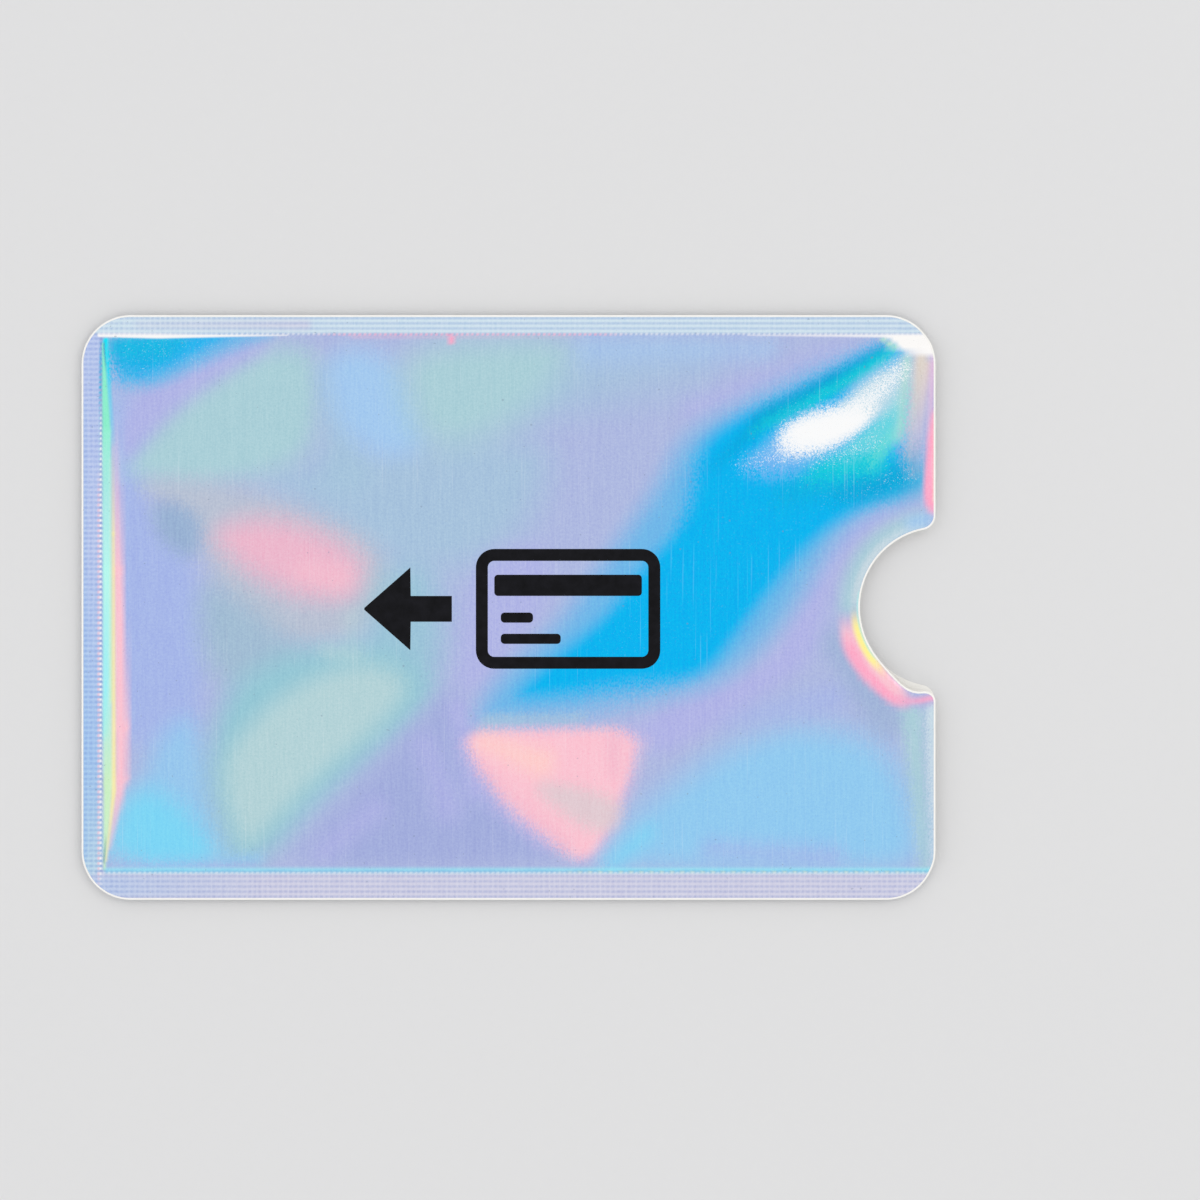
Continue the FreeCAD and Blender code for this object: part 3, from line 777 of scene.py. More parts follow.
def fans(tips: np.ndarray, chains: np.ndarray) -> np.ndarray:
    """Triangles that join each tip to the neighbours along its own row of vertex numbers in chains."""
    tips = np.broadcast_to(tips[:, None], (len(chains), chains.shape[1] - 1))
    return np.stack((tips, chains[:, :-1], chains[:, 1:]), -1).reshape(-1, 3)


def wall(below: np.ndarray, above: np.ndarray) -> np.ndarray:
    """Four-sided faces between two closed loops of vertex numbers, one over the other."""
    return np.stack((below, np.roll(below, -1), np.roll(above, -1), above), -1)


class Lattice:
    """Rows and columns over the die-cut outline, fine in the bands and coarser in the field.

    The bands have every row and column. The field has every split-th one, and a row of small fans joins
    the two, so that a whole layer is one closed skin. Where the outline is drawn in, a zone of columns
    is drawn in with it: some times as wide as the outline's own way in, and no narrower than a given width.
    """

    END_ZONE = 1.6
    MOUTH_ZONE = 2.0
    LEAST_MOUTH_ZONE = 4.0

    def __init__(self, cut: DieCut, pocket: Pocket, detail: Detail) -> None:
        """Place the rows and columns.

        Args:
            cut: the layer's outline.
            pocket: where the bands end and the shoulders begin.
            detail: how finely to sample.
        """
        self.cut = cut
        self.split = detail.split
        band = spaced(-cut.half_length, pocket.end, detail.band_step)
        across = self._field_columns(pocket, detail)
        low, middle, high = self._rows(pocket, detail)
        self.first = len(band) - 1
        self.low = len(low) - 1
        self.columns = chain(band, refine(across, self.split))
        self.rows = chain(low, refine(middle, self.split), high)
        self.high = len(self.rows) - len(high)
        self.x, self.y = self._places(pocket)
        self.outer = self._numbers(self._outer_mask())
        self.inner = self._numbers(self._inner_mask())

    def _field_columns(self, pocket: Pocket, detail: Detail) -> np.ndarray:
        """Columns from the end weld to the mouth: close over the shoulder and beside the mouth.

        Args:
            pocket: where the shoulder begins.
            detail: how finely to sample.

        Returns:
            The columns' places before the outline draws them in.
        """
        shoulder = pocket.end + pocket.end_shoulder + detail.shoulder_margin
        zone = self.cut.half_length - detail.mouth_zone
        return chain(
            spaced(pocket.end, shoulder, detail.shoulder_step),
            spaced(shoulder, zone, detail.field_step),
            spaced(zone, self.cut.half_length, detail.mouth_step),
        )

    def _rows(self, pocket: Pocket, detail: Detail) -> tuple[np.ndarray, np.ndarray, np.ndarray]:
        """Rows from the bottom edge to the top edge, by even angles along every arc of the outline.

        Args:
            pocket: where the bands end and the shoulders begin.
            detail: how finely to sample.

        Returns:
            The rows of the bottom band, of the field and of the top band.
        """
        cut = self.cut
        radius, centre_y = cut.corner_radius, cut.corner_centre[1]

        def band(seal: float) -> np.ndarray:
            """Rows from beside a seal line out to the edge, by even angles of the corner."""
            start = math.asin((seal - centre_y) / radius)
            return centre_y + radius * np.sin(spaced(start, math.pi / 2, detail.corner_turn))

        turn, lip_y = cut.lip_turn, cut.lip_centre[1]
        lip = lip_y - cut.lip_radius * np.sin(spaced(0.0, turn, detail.lip_turn))
        notch = cut.notch_radius * np.sin(spaced(-turn, turn, detail.notch_turn))
        field_low, field_high = pocket.bottom + pocket.bottom_shoulder, pocket.top - pocket.top_shoulder
        middle = chain(
            spaced(pocket.bottom, field_low, detail.shoulder_row_step),
            spaced(field_low, -lip_y, detail.field_step),
            -lip,
            notch,
            lip[::-1],
            spaced(lip_y, field_high, detail.field_step),
            spaced(field_high, pocket.top, detail.shoulder_row_step),
        )
        return -band(-pocket.bottom)[::-1], middle, band(pocket.top)

    def _places(self, pocket: Pocket) -> tuple[Places, Places]:
        """Places of the grid: the columns, drawn in evenly over a zone beside each end of the outline.

        Args:
            pocket: where the end band ends, which is the least width of its zone.

        Returns:
            x and y of every row and column.
        """
        y = np.repeat(self.rows[:, None], len(self.columns), 1)
        start, end = -self.cut.half_length, self.cut.half_length
        from_end = (self.cut.closed_end(self.rows) - start)[:, None]
        from_mouth = (end - self.cut.mouth(self.rows))[:, None]
        end_zone = np.maximum(pocket.end - start, self.END_ZONE * from_end)
        mouth_zone = np.maximum(self.LEAST_MOUTH_ZONE, self.MOUTH_ZONE * from_mouth)
        x = self.columns[None, :]
        drawn = from_end * np.clip(1.0 - (x - start) / end_zone, 0.0, 1.0)
        return x + drawn - from_mouth * np.clip(1.0 - (end - x) / mouth_zone, 0.0, 1.0), y

    def _outer_mask(self) -> np.ndarray:
        """Which places the outer skin uses.

        Returns:
            True for all of the bands, and for every split-th row and column of the field.
        """
        used = np.ones(self.x.shape, bool)
        used[self.low + 1:self.high, self.first + 1:] = False
        used[self.low:self.high + 1:self.split, self.first::self.split] = True
        return used

    def _inner_mask(self) -> np.ndarray:
        """Which places the inner skin uses.

        Returns:
            True for the field's rows and columns, and for the rim of the outer skin.
        """
        if self.split == 1:
            return np.ones(self.x.shape, bool)
        used = np.zeros(self.x.shape, bool)
        used[[0, -1], :] = True
        used[:, 0] = True
        used[:self.low + 1, -1] = True
        used[self.high:, -1] = True
        used[self.low:self.high + 1:self.split, self.first::self.split] = True
        return used

    @staticmethod
    def _numbers(used: np.ndarray) -> np.ndarray:
        """Vertex numbers in reading order of the used places, and -1 elsewhere."""
        return np.where(used, np.cumsum(used).reshape(used.shape) - 1, -1)

    def _runs(self, numbers: np.ndarray) -> np.ndarray:
        """Rows of split + 1 neighbouring numbers, one row for each coarse step along a fine edge."""
        starts = np.arange(0, len(numbers) - 1, self.split)
        return numbers[starts[:, None] + np.arange(self.split + 1)[None, :]]

    def outer_faces(self) -> tuple[np.ndarray, np.ndarray]:
        """Faces of the outer skin, turning left seen from above: the bands, the field and fans between them.

        Returns:
            The four-sided faces and the triangles.
        """
        number, low, high, first = self.outer, self.low, self.high, self.first
        field_block = number[low:high + 1:self.split, first::self.split]
        quads = [tiles(number[:low + 1]), tiles(number[high:]), tiles(number[low:high + 1, :first + 1])]
        if self.split == 1:
            return np.concatenate(quads + [tiles(field_block)]), NO_TRIANGLES
        quads.append(tiles(field_block[1:-1, 1:]))
        bottom = self._runs(number[low, first:])
        top = self._runs(number[high, first:])
        side = self._runs(number[low:high + 1, first])
        inner_low, inner_high, inner_side = field_block[1], field_block[-2], field_block[:, 1]
        triangles = [
            fans(inner_low[1:-1], np.hstack((bottom[1:], inner_low[2:, None]))),
            fans(inner_high[1:-1], np.hstack((inner_high[2:, None], top[1:, ::-1]))),
            fans(inner_side[1:-2], np.hstack((inner_side[2:-1, None], side[1:-1, ::-1]))),
            fans(inner_low[1:2], np.hstack((side[:1, ::-1], bottom[:1, 1:]))),
            fans(inner_high[1:2], np.hstack((top[:1, ::-1], side[-1:, -2::-1]))),
        ]
        return np.concatenate(quads), np.concatenate(triangles)

    def inner_faces(self) -> tuple[np.ndarray, np.ndarray]:
        """Faces of the inner skin, turning left seen from above: the field, and fans out to the rim.

        Returns:
            The four-sided faces and the triangles.
        """
        number, low, high, first = self.inner, self.low, self.high, self.first
        if self.split == 1:
            return tiles(number), NO_TRIANGLES
        block = number[low:high + 1:self.split, first::self.split]
        bottom = self._runs(number[0, first:])
        top = self._runs(number[-1, first:])
        side = self._runs(number[low:high + 1, 0])
        mouth_low, mouth_high = number[:low + 1, -1], number[high:, -1]
        corner_low = np.concatenate((number[low::-1, 0], number[0, 1:first + 1]))
        corner_high = np.concatenate((number[-1, first::-1], number[-2:high - 1:-1, 0]))
        triangles = [
            fans(block[0, :-2], np.hstack((bottom[:-1], block[0, 1:-1, None]))),
            fans(block[-1, :-2], np.hstack((block[-1, 1:-1, None], top[:-1, ::-1]))),
            fans(block[:-1, 0], np.hstack((block[1:, :1], side[:, ::-1]))),
            fans(block[:1, 0], corner_low[None, :]),
            fans(block[-1:, 0], corner_high[None, :]),
            fans(block[0, -2:-1], np.concatenate((bottom[-1], mouth_low[1:]))[None, :]),
            fans(block[-1, -2:-1], np.concatenate((mouth_high, top[-1, -2::-1]))[None, :]),
        ]
        return tiles(block), np.concatenate(triangles)

    def rim(self, number: np.ndarray) -> np.ndarray:
        """Loop round the outline, turning left seen from above.

        Args:
            number: the skin's vertex number at each row and column.

        Returns:
            The vertex numbers, each once.
        """
        mouth = np.concatenate((
            number[:self.low, -1], number[self.low:self.high:self.split, -1], number[self.high:, -1],
        ))
        return np.concatenate((number[0, :-1], mouth, number[-1, -2::-1], number[-2:0:-1, 0]))


SHARP_ANGLE = math.radians(45.0)


def make_piece(
    name: str, points: np.ndarray, quads: np.ndarray, triangles: np.ndarray = NO_TRIANGLES
) -> bpy.types.Object:
    """Make a mesh object at the origin.

    Args:
        name: the piece's name.
        points: vertex places in millimetres, one row each.
        quads: four-sided faces, as vertex numbers.
        triangles: three-sided faces, as vertex numbers.

    Returns:
        The new object, smooth-shaded with its hard edges kept sharp.
    """
    mesh = bpy.data.meshes.new(name)
    mesh.vertices.add(len(points))
    mesh.vertices.foreach_set("co", (points * MM).astype(np.float32).ravel())
    corners = np.concatenate((quads.ravel(), triangles.ravel())).astype(np.int32)
    sides = np.concatenate([np.full(len(faces), faces.shape[1]) for faces in (quads, triangles)])
    mesh.loops.add(len(corners))
    mesh.loops.foreach_set("vertex_index", corners)
    mesh.polygons.add(len(sides))
    mesh.polygons.foreach_set("loop_start", (np.cumsum(sides) - sides).astype(np.int32))
    mesh.update(calc_edges=True)
    mesh.polygons.foreach_set("use_smooth", np.ones(len(sides), bool))
    mesh.set_sharp_from_angle(angle=SHARP_ANGLE)
    piece = bpy.data.objects.new(name, mesh)
    bpy.context.scene.collection.objects.link(piece)
    return piece


def closed_shell(name: str, upper: np.ndarray, lower: np.ndarray) -> bpy.types.Object:
    """Make a closed piece between two grids of points that lie one over the other.

    Args:
        name: the piece's name.
        upper: rows by columns by 3 places of the upper skin.
        lower: the same for the lower skin.

    Returns:
        The new object: both skins, joined by a wall round their rim.
    """
    above = np.arange(upper[..., 0].size).reshape(upper.shape[:2])
    below = above + above.size

    def loop(number: np.ndarray) -> np.ndarray:
        """Vertex numbers once round the grid, turning left seen from above."""
        return np.concatenate((number[0, :-1], number[:-1, -1], number[-1, :0:-1], number[:0:-1, 0]))

    quads = np.concatenate((tiles(above), tiles(below)[:, ::-1], wall(loop(below), loop(above))))
    return make_piece(name, np.concatenate((upper.reshape(-1, 3), lower.reshape(-1, 3))), quads)


@dataclass(frozen=True)
class Noise:
    """A noise in a finish: its cells to a millimetre along each axis, and the range that it is read over.

    Values from seen[0] to seen[1] are carried over to the range from gives[0] to gives[1].
    """

    cells: Cells
    detail: float = 2.0
    roughness: float = 0.5
    seen: Point = (0.3, 0.7)
    gives: Point = (0.0, 1.0)


class Shader:
    """The node tree of one material, with short ways to add and join nodes."""

    def __init__(self, name: str) -> None:
        """Start a material with one principled surface.

        Args:
            name: the material's name.
        """
        self.material = bpy.data.materials.new(name)
        self.material.use_nodes = True
        self.tree = self.material.node_tree
        self.surface = self.tree.nodes["Principled BSDF"]

    def node(self, kind: str, inputs: dict | None = None, **settings: object) -> bpy.types.Node:
        """Add a node.

        Args:
            kind: the node's type.
            inputs: socket name or number to a value, or to an output that is joined to it.
            settings: the node's own properties.

        Returns:
            The node.
        """
        node = self.tree.nodes.new(kind)
        for name, value in settings.items():
            setattr(node, name, value)
        self.feed(node, inputs or {})
        return node

    def feed(self, node: bpy.types.Node, inputs: dict) -> None:
        """Set or join a node's sockets.

        Args:
            node: the node.
            inputs: socket name or number to a value, or to an output that is joined to it.
        """
        for name, value in inputs.items():
            if isinstance(value, Socket):
                self.tree.links.new(value, node.inputs[name])
            else:
                node.inputs[name].default_value = value

    def attribute(self, name: str, output: str) -> Socket:
        """A value that the mesh stores under a name."""
        return self.node("ShaderNodeAttribute", attribute_name=name).outputs[output]

    def noise(self, noise: Noise) -> Socket:
        """Add a noise over Object coordinates.

        Args:
            noise: its cells and how it breaks up.

        Returns:
            The noise's value, as it comes.
        """
        place = self.node("ShaderNodeTexCoord").outputs["Object"]
        scale = tuple(count / MM for count in noise.cells)
        mapping = self.node("ShaderNodeMapping", {"Vector": place, "Scale": scale})
        inputs = {"Vector": mapping.outputs["Vector"], "Scale": 1.0}
        inputs |= {"Detail": noise.detail, "Roughness": noise.roughness}
        return self.node("ShaderNodeTexNoise", inputs).outputs["Fac"]

    def spread(self, value: Socket, seen: Point, gives: Point) -> Socket:
        """A value carried from the range seen[0] to seen[1] over to gives[0] to gives[1]."""
        inputs = dict(zip(("Value", "From Min", "From Max", "To Min", "To Max"), (value, *seen, *gives)))
        return self.node("ShaderNodeMapRange", inputs).outputs["Result"]

    def pattern(self, noise: Noise) -> Socket:
        """A noise over Object coordinates, carried over to the range that it gives."""
        return self.spread(self.noise(noise), noise.seen, noise.gives)

    def add(self, first: Socket, second: Socket) -> Socket:
        """The sum of two values."""
        return self.node("ShaderNodeMath", {0: first, 1: second}, operation="ADD").outputs["Value"]

    def mix(self, blend: str, share: Socket | float, under: Socket | tuple, over: Socket | tuple) -> Socket:
        """A colour mixed by a named blend into another, by a share."""
        # Several of this node's sockets have the same name, so those for colours go by number.
        colours = {0: share, 6: under, 7: over}
        return self.node("ShaderNodeMix", colours, data_type="RGBA", blend_type=blend).outputs[2]

    def bump(self, height: Socket, strength: float, distance: float) -> Socket:
        """A normal that a height, distance millimetres deep, disturbs."""
        inputs = {"Height": height, "Strength": strength, "Distance": distance * MM}
        return self.node("ShaderNodeBump", inputs).outputs["Normal"]


TINT_LAYERS = {"tint_ahead": 1.0, "tint_behind": -1.0}
PAINTED_GLINTS_LAYER = "painted_glints"


@dataclass(frozen=True)
class FilmFinish:
    """Metallised holographic polyester: tinted by its patches, with rolling streaks, grain, specks and
    painted glints.
    """

    name: str = "holographic_film"
    leaning: Noise = Noise((6.0, 3.6, 3.6), roughness=0.6, seen=(0.4, 0.6))
    streaks: Noise = Noise((2.2, 0.015, 0.015), roughness=0.6, gives=(0.46, 0.54))
    streak_share: float = 0.3
    grain: Noise = Noise((4.0, 4.0, 4.0), roughness=0.6, gives=(0.38, 0.62))
    grain_share: float = 0.3
    brushed: Noise = Noise((6.0, 0.45, 0.45), detail=1.0, gives=(0.4, 0.6))
    brushed_share: float = 0.18
    scratches: Noise = Noise((7.0, 0.1, 0.1), detail=0.0, seen=(0.71, 0.86), gives=(0.0, 0.12))
    scratch_light: Light = (0.92, 0.95, 0.98)
    specks: Noise = Noise((2.6, 2.6, 2.6), detail=0.0, seen=(0.82, 0.87), gives=(0.0, 0.4))
    speck_light: Light = (0.2, 0.25, 0.36)
    # Painted glints: pale grains of highlight where the mesh's glint share and this noise add up.
    glint_grains: Noise = Noise((7.0, 7.0, 7.0), roughness=0.7)
    glint_sums: Point = (1.0, 1.4)
    glint_cover: Point = (0.0, 0.9)
    glint_colour: Light = (0.96, 0.97, 0.98)
    metallic: float = 1.0
    roughness: Point = (0.16, 0.24)
    coat: float = 0.1
    coat_roughness: float = 0.08
    bump: float = 0.1
    relief: float = 0.01

    def material(self) -> bpy.types.Material:
        """Make the film's material, which reads the tints and the painted glints stored on its mesh.

        Each grain of the film leans its own way and shows the tint from a little further one way or the
        other, so two tints are mixed by a fine noise.

        Returns:
            The material.
        """
        shader = Shader(self.name)
        ahead, behind = (shader.attribute(name, "Color") for name in TINT_LAYERS)
        streaks, grain = shader.noise(self.streaks), shader.noise(self.grain)
        overlays = (
            (self.streak_share, shader.spread(streaks, self.streaks.seen, self.streaks.gives)),
            (self.grain_share, shader.spread(grain, self.grain.seen, self.grain.gives)),
            (self.brushed_share, shader.pattern(self.brushed)),
        )
        spots = (
            (shader.pattern(self.scratches), self.scratch_light),
            (shader.pattern(self.specks), self.speck_light),
            (self._painted_glints(shader), self.glint_colour),
        )
        colour = shader.mix("MIX", shader.pattern(self.leaning), ahead, behind)
        for share, pattern in overlays:
            colour = shader.mix("OVERLAY", share, colour, pattern)
        for share, light in spots:
            colour = shader.mix("MIX", share, colour, light + (1.0,))
        shader.feed(shader.surface, {
            "Base Color": colour,
            "Metallic": self.metallic,
            "Roughness": shader.spread(streaks, self.streaks.seen, self.roughness),
            "Coat Weight": self.coat,
            "Coat Roughness": self.coat_roughness,
            "Normal": shader.bump(grain, self.bump, self.relief),
        })
        return shader.material

    def _painted_glints(self, shader: Shader) -> Socket:
        """Cover of the painted glints, pale grains of highlight: they show where the mesh's share and a noise
        add up to more than 1.

        A painted highlight so breaks up into grains at its edge.

        Args:
            shader: the film's nodes.

        Returns:
            The cover.
        """
        total = shader.add(shader.attribute(PAINTED_GLINTS_LAYER, "Fac"), shader.pattern(self.glint_grains))
        return shader.spread(total, self.glint_sums, self.glint_cover)


@dataclass(frozen=True)
class PlasticFinish:
    """A plain layer: mottled in colour, with a fine uneven surface."""

    name: str
    light: Light
    shade: Light
    roughness: Point
    metallic: float = 0.0
    cells: Cells = (0.8, 0.8, 0.8)
    relief: float = 0.01
    gloss: float = 0.5
    bump: float = 0.3
    mottle_detail: float = 4.0
    mottle_roughness: float = 0.6
    fineness: float = 5.0

    def material(self) -> bpy.types.Material:
        """Make the layer's material: two colours mixed by a noise, and a finer noise for gloss and relief.

        Returns:
            The material.
        """
        shader = Shader(self.name)
        mottle = shader.pattern(Noise(self.cells, self.mottle_detail, self.mottle_roughness))
        fine = Noise(tuple(self.fineness * count for count in self.cells), gives=self.roughness)
        surface = shader.noise(fine)
        shader.feed(shader.surface, {
            "Base Color": shader.mix("MIX", mottle, self.light + (1.0,), self.shade + (1.0,)),
            "Metallic": self.metallic,
            "Roughness": shader.spread(surface, fine.seen, fine.gives),
            "Specular IOR Level": self.gloss,
            "Normal": shader.bump(surface, self.bump, self.relief),
        })
        return shader.material


FILM_FINISH = FilmFinish()
LINER_FINISH = PlasticFinish("white_liner", (0.97, 0.955, 0.92), (0.93, 0.915, 0.87), (0.38, 0.55))
FOIL_FINISH = PlasticFinish("shield_foil", (0.78, 0.79, 0.81), (0.66, 0.67, 0.7), (0.22, 0.38), metallic=1.0,
                            cells=(0.3, 4.0, 0.3))
GLUE_FINISH = PlasticFinish("lamination_glue", (0.82, 0.8, 0.7), (0.74, 0.72, 0.6), (0.15, 0.3))
WELD_FINISH = PlasticFinish("fused_liner", (0.86, 0.86, 0.83), (0.78, 0.79, 0.76), (0.3, 0.45))
INK_FINISH = PlasticFinish("black_ink", (0.003, 0.003, 0.004), (0.008, 0.008, 0.011), (0.3, 0.45),
                           relief=0.004, gloss=0.08)
FLOOR_FINISH = PlasticFinish("pale_floor", (0.73, 0.73, 0.735), (0.725, 0.725, 0.73), (0.6, 0.7), relief=0.0)

LAYERS = (
    ("liner", CORE_DETAIL, LINER_FINISH),
    ("liner_glue", CORE_DETAIL, GLUE_FINISH),
    ("foil", CORE_DETAIL, FOIL_FINISH),
    ("film_glue", CORE_DETAIL, GLUE_FINISH),
    ("film", FILM_DETAIL, FILM_FINISH),
)


@dataclass
class Panel:
    """One panel of the sleeve: film, glue, foil, glue and liner, all shaped alike one over the other."""

    side: Side
    pocket: Pocket
    materials: Materials
    curl_centre: Point = (43.6, -8.5)
    curl_reach: float = 2.6
    curl_shift: float = 0.95
    weave_pitch: float = SEAL_PITCH
    weave_depth: float = 0.014
    weave_steady: float = 0.35
    weave_drawn: float = 0.45
    weave_fade: float = 0.08
    drawn_from: float = -38.0
    drawn_run: float = 24.0
    # How much the bands darken where the imprint is deepest: partly its pattern, partly painted shade in its
    # recesses.
    recess_shade: Light = (0.3, 0.25, 0.1)
    grain_lean: Point = (0.7, 0.6)
    calm_lean: float = 0.35

    @property
    def name(self) -> str:
        """The word that the panel's nodes begin with."""
        return self.side.name.lower()

    def curl(self, x: Places, y: Places) -> Places:
        """Share of the lip's curl: a bell curve round the lower notch lip, on the front only.

        Args:
            x: places along the sleeve.
            y: places across it.

        Returns:
            The share.
        """
        if self.side is Side.BACK:
            return np.zeros(np.shape(x))
        return bell(np.hypot(x - self.curl_centre[0], y - self.curl_centre[1]), self.curl_reach)

    def weave(self, x: Places, y: Places) -> Places:
        """Depth share of the sealing bars' imprint: rows of small cells, in the welded bands only.

        Across the rows the depth is a squared sine, and along them the size of a sine over a steady part, so
        that the ridges between the rows are broad and those between the cells of a row are thin and low.
        Along the top band the steady part grows towards the mouth, where the cells run together into lines.

        Args:
            x: places along the sleeve.
            y: places across it.

        Returns:
            The share, which fades out where the panel begins to rise from the bands.
        """
        drawn = ramp((y - self.pocket.top) / self.weave_pitch) * ramp((x - self.drawn_from) / self.drawn_run)
        steady = self.weave_steady + self.weave_drawn * drawn
        cells = steady + (1.0 - steady) * np.abs(np.sin(math.pi * x / self.weave_pitch))
        cells = cells * np.sin(math.pi * y / self.weave_pitch) ** 2
        return cells * (1.0 - ramp(self.pocket.lift(x, y) / self.weave_fade))

    def colours(self, x: Places, y: Places, way: float) -> np.ndarray:
        """Tint of the film at each place: its patches painted in turn, with darker dots in the bands where
        the imprint is deepest: partly the imprint's own pattern, partly painted shade in its recesses.

        The patches of the field are read a little to one side, further where the film is grainy. They and the
        glare's rim turn half round on the back. Those of the edges are read in place.

        Args:
            x: places along the sleeve.
            y: places across it.
            way: 1 or -1, for the side from which a leaning grain takes the tint of the field.

        Returns:
            Linear red, green and blue for each place.
        """
        colour = np.broadcast_to(Tint.LILAC.linear(), x.shape + (3,)).copy()
        turn = self.side.value
        lean = way * (self.calm_lean + (1.0 - self.calm_lean) * self.most(GRAINY, x, y))
        aside_x, aside_y = turn * x + lean * self.grain_lean[0], turn * y + lean * self.grain_lean[1]
        coats = ((FRONT_SHEEN, aside_x, aside_y), (GLARE_RIM, turn * x, turn * y), (EDGE_SHEEN, x, y))
        for patches, at_x, at_y in coats:
            for patch in patches:
                colour += patch.weight(at_x, at_y)[..., None] * (patch.tint.linear() - colour)
        # Painted shade in the imprint's recesses, which also stands for its dotted pattern.
        return colour * (1.0 - self.weave(x, y)[..., None] * np.array(self.recess_shade))

    def most(self, patches: Patches, x: Places, y: Places) -> Places:
        """The most that any of a field's patches covers at each place."""
        turn = self.side.value
        return np.max([patch.weight(turn * x, turn * y) for patch in patches], axis=0)

    def build_layer(self, layer: str, detail: Detail, imprint: bool) -> bpy.types.Object:
        """Make one layer as a closed skin.

        Args:
            layer: the layer's name without the panel's.
            detail: how finely to sample it.
            imprint: whether the bands carry the sealing bars' imprint and the surface its tint.

        Returns:
            The layer's object. Its inner face follows the pocket's height, and its outer face lies one
            thickness over it.
        """
        node = f"{self.name}_{layer}"
        low, high = node_box(node)
        thickness = high[2] - low[2] - self.pocket.rise
        cut = DieCut(high[0], high[1], setback=self.pocket.cut.half_length - high[0])
        lattice = Lattice(cut, self.pocket, detail)
        base = low[2] if self.side is Side.FRONT else high[2]

        def skin(number: np.ndarray, over: float) -> np.ndarray:
            """Place the used vertices of one skin.

            Args:
                number: the skin's vertex number at each row and column.
                over: how far the skin lies outside the layer's inner face.

            Returns:
                Their places, one row each.
            """
            x, y = lattice.x[number >= 0], lattice.y[number >= 0]
            height = self.pocket.height(x, y) + over
            if imprint and over:
                height = height - self.weave_depth * self.weave(x, y)
            shift = self.curl_shift * self.curl(x, y)
            return np.stack((x, y - shift, base + self.side.value * height), -1)

        outer, inner = skin(lattice.outer, thickness), skin(lattice.inner, 0.0)
        quads, triangles = lattice.outer_faces()
        under_quads, under_triangles = lattice.inner_faces()
        rims = wall(lattice.rim(lattice.inner) + len(outer), lattice.rim(lattice.outer))
        quads = np.concatenate((quads, under_quads[:, ::-1] + len(outer), rims))
        triangles = np.concatenate((triangles, under_triangles[:, ::-1] + len(outer)))
        if self.side is Side.BACK:
            quads, triangles = quads[:, ::-1], triangles[:, ::-1]
        piece = make_piece(f"{node}_skin", np.concatenate((outer, inner)), quads, triangles)
        if imprint:
            self._store_tint(piece, lattice)
        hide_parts(node)
        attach(piece, "root")
        return piece

    def _store_tint(self, piece: bpy.types.Object, lattice: Lattice) -> None:
        """Store the film's tints and painted glints on the vertices of both skins.

        Args:
            piece: the film's object.
            lattice: the rows and columns that it was made from.
        """
        used = [number >= 0 for number in (lattice.outer, lattice.inner)]
        x, y = (np.concatenate([places[mask] for mask in used]) for places in (lattice.x, lattice.y))
        for name, way in TINT_LAYERS.items():
            colour = np.ones((len(x), 4), np.float32)
            colour[:, :3] = self.colours(x, y, way)
            attribute = piece.data.color_attributes.new(name, "FLOAT_COLOR", "POINT")
            attribute.data.foreach_set("color", colour.ravel())
        attribute = piece.data.attributes.new(PAINTED_GLINTS_LAYER, "FLOAT", "POINT")
        attribute.data.foreach_set("value", self.most(PAINTED_GLINTS, x, y).astype(np.float32))

    def build(self) -> list[bpy.types.Object]:
        """Make and dress all five layers.

        Returns:
            Their objects, from the liner to the film.
        """
        pieces = []
        for layer, detail, finish in LAYERS:
            piece = self.build_layer(layer, detail, imprint=finish is FILM_FINISH)
            piece.data.materials.append(self.materials[finish.name])
            finish.name
            pieces.append(piece)
        return pieces

    def film_top(self, x: Places, y: Places) -> Places:
        """Level of the film's outer face at each place, in millimetres."""
        top = node_box(f"{self.name}_film")[1][2]
        return top - self.pocket.rise + self.pocket.height(x, y)


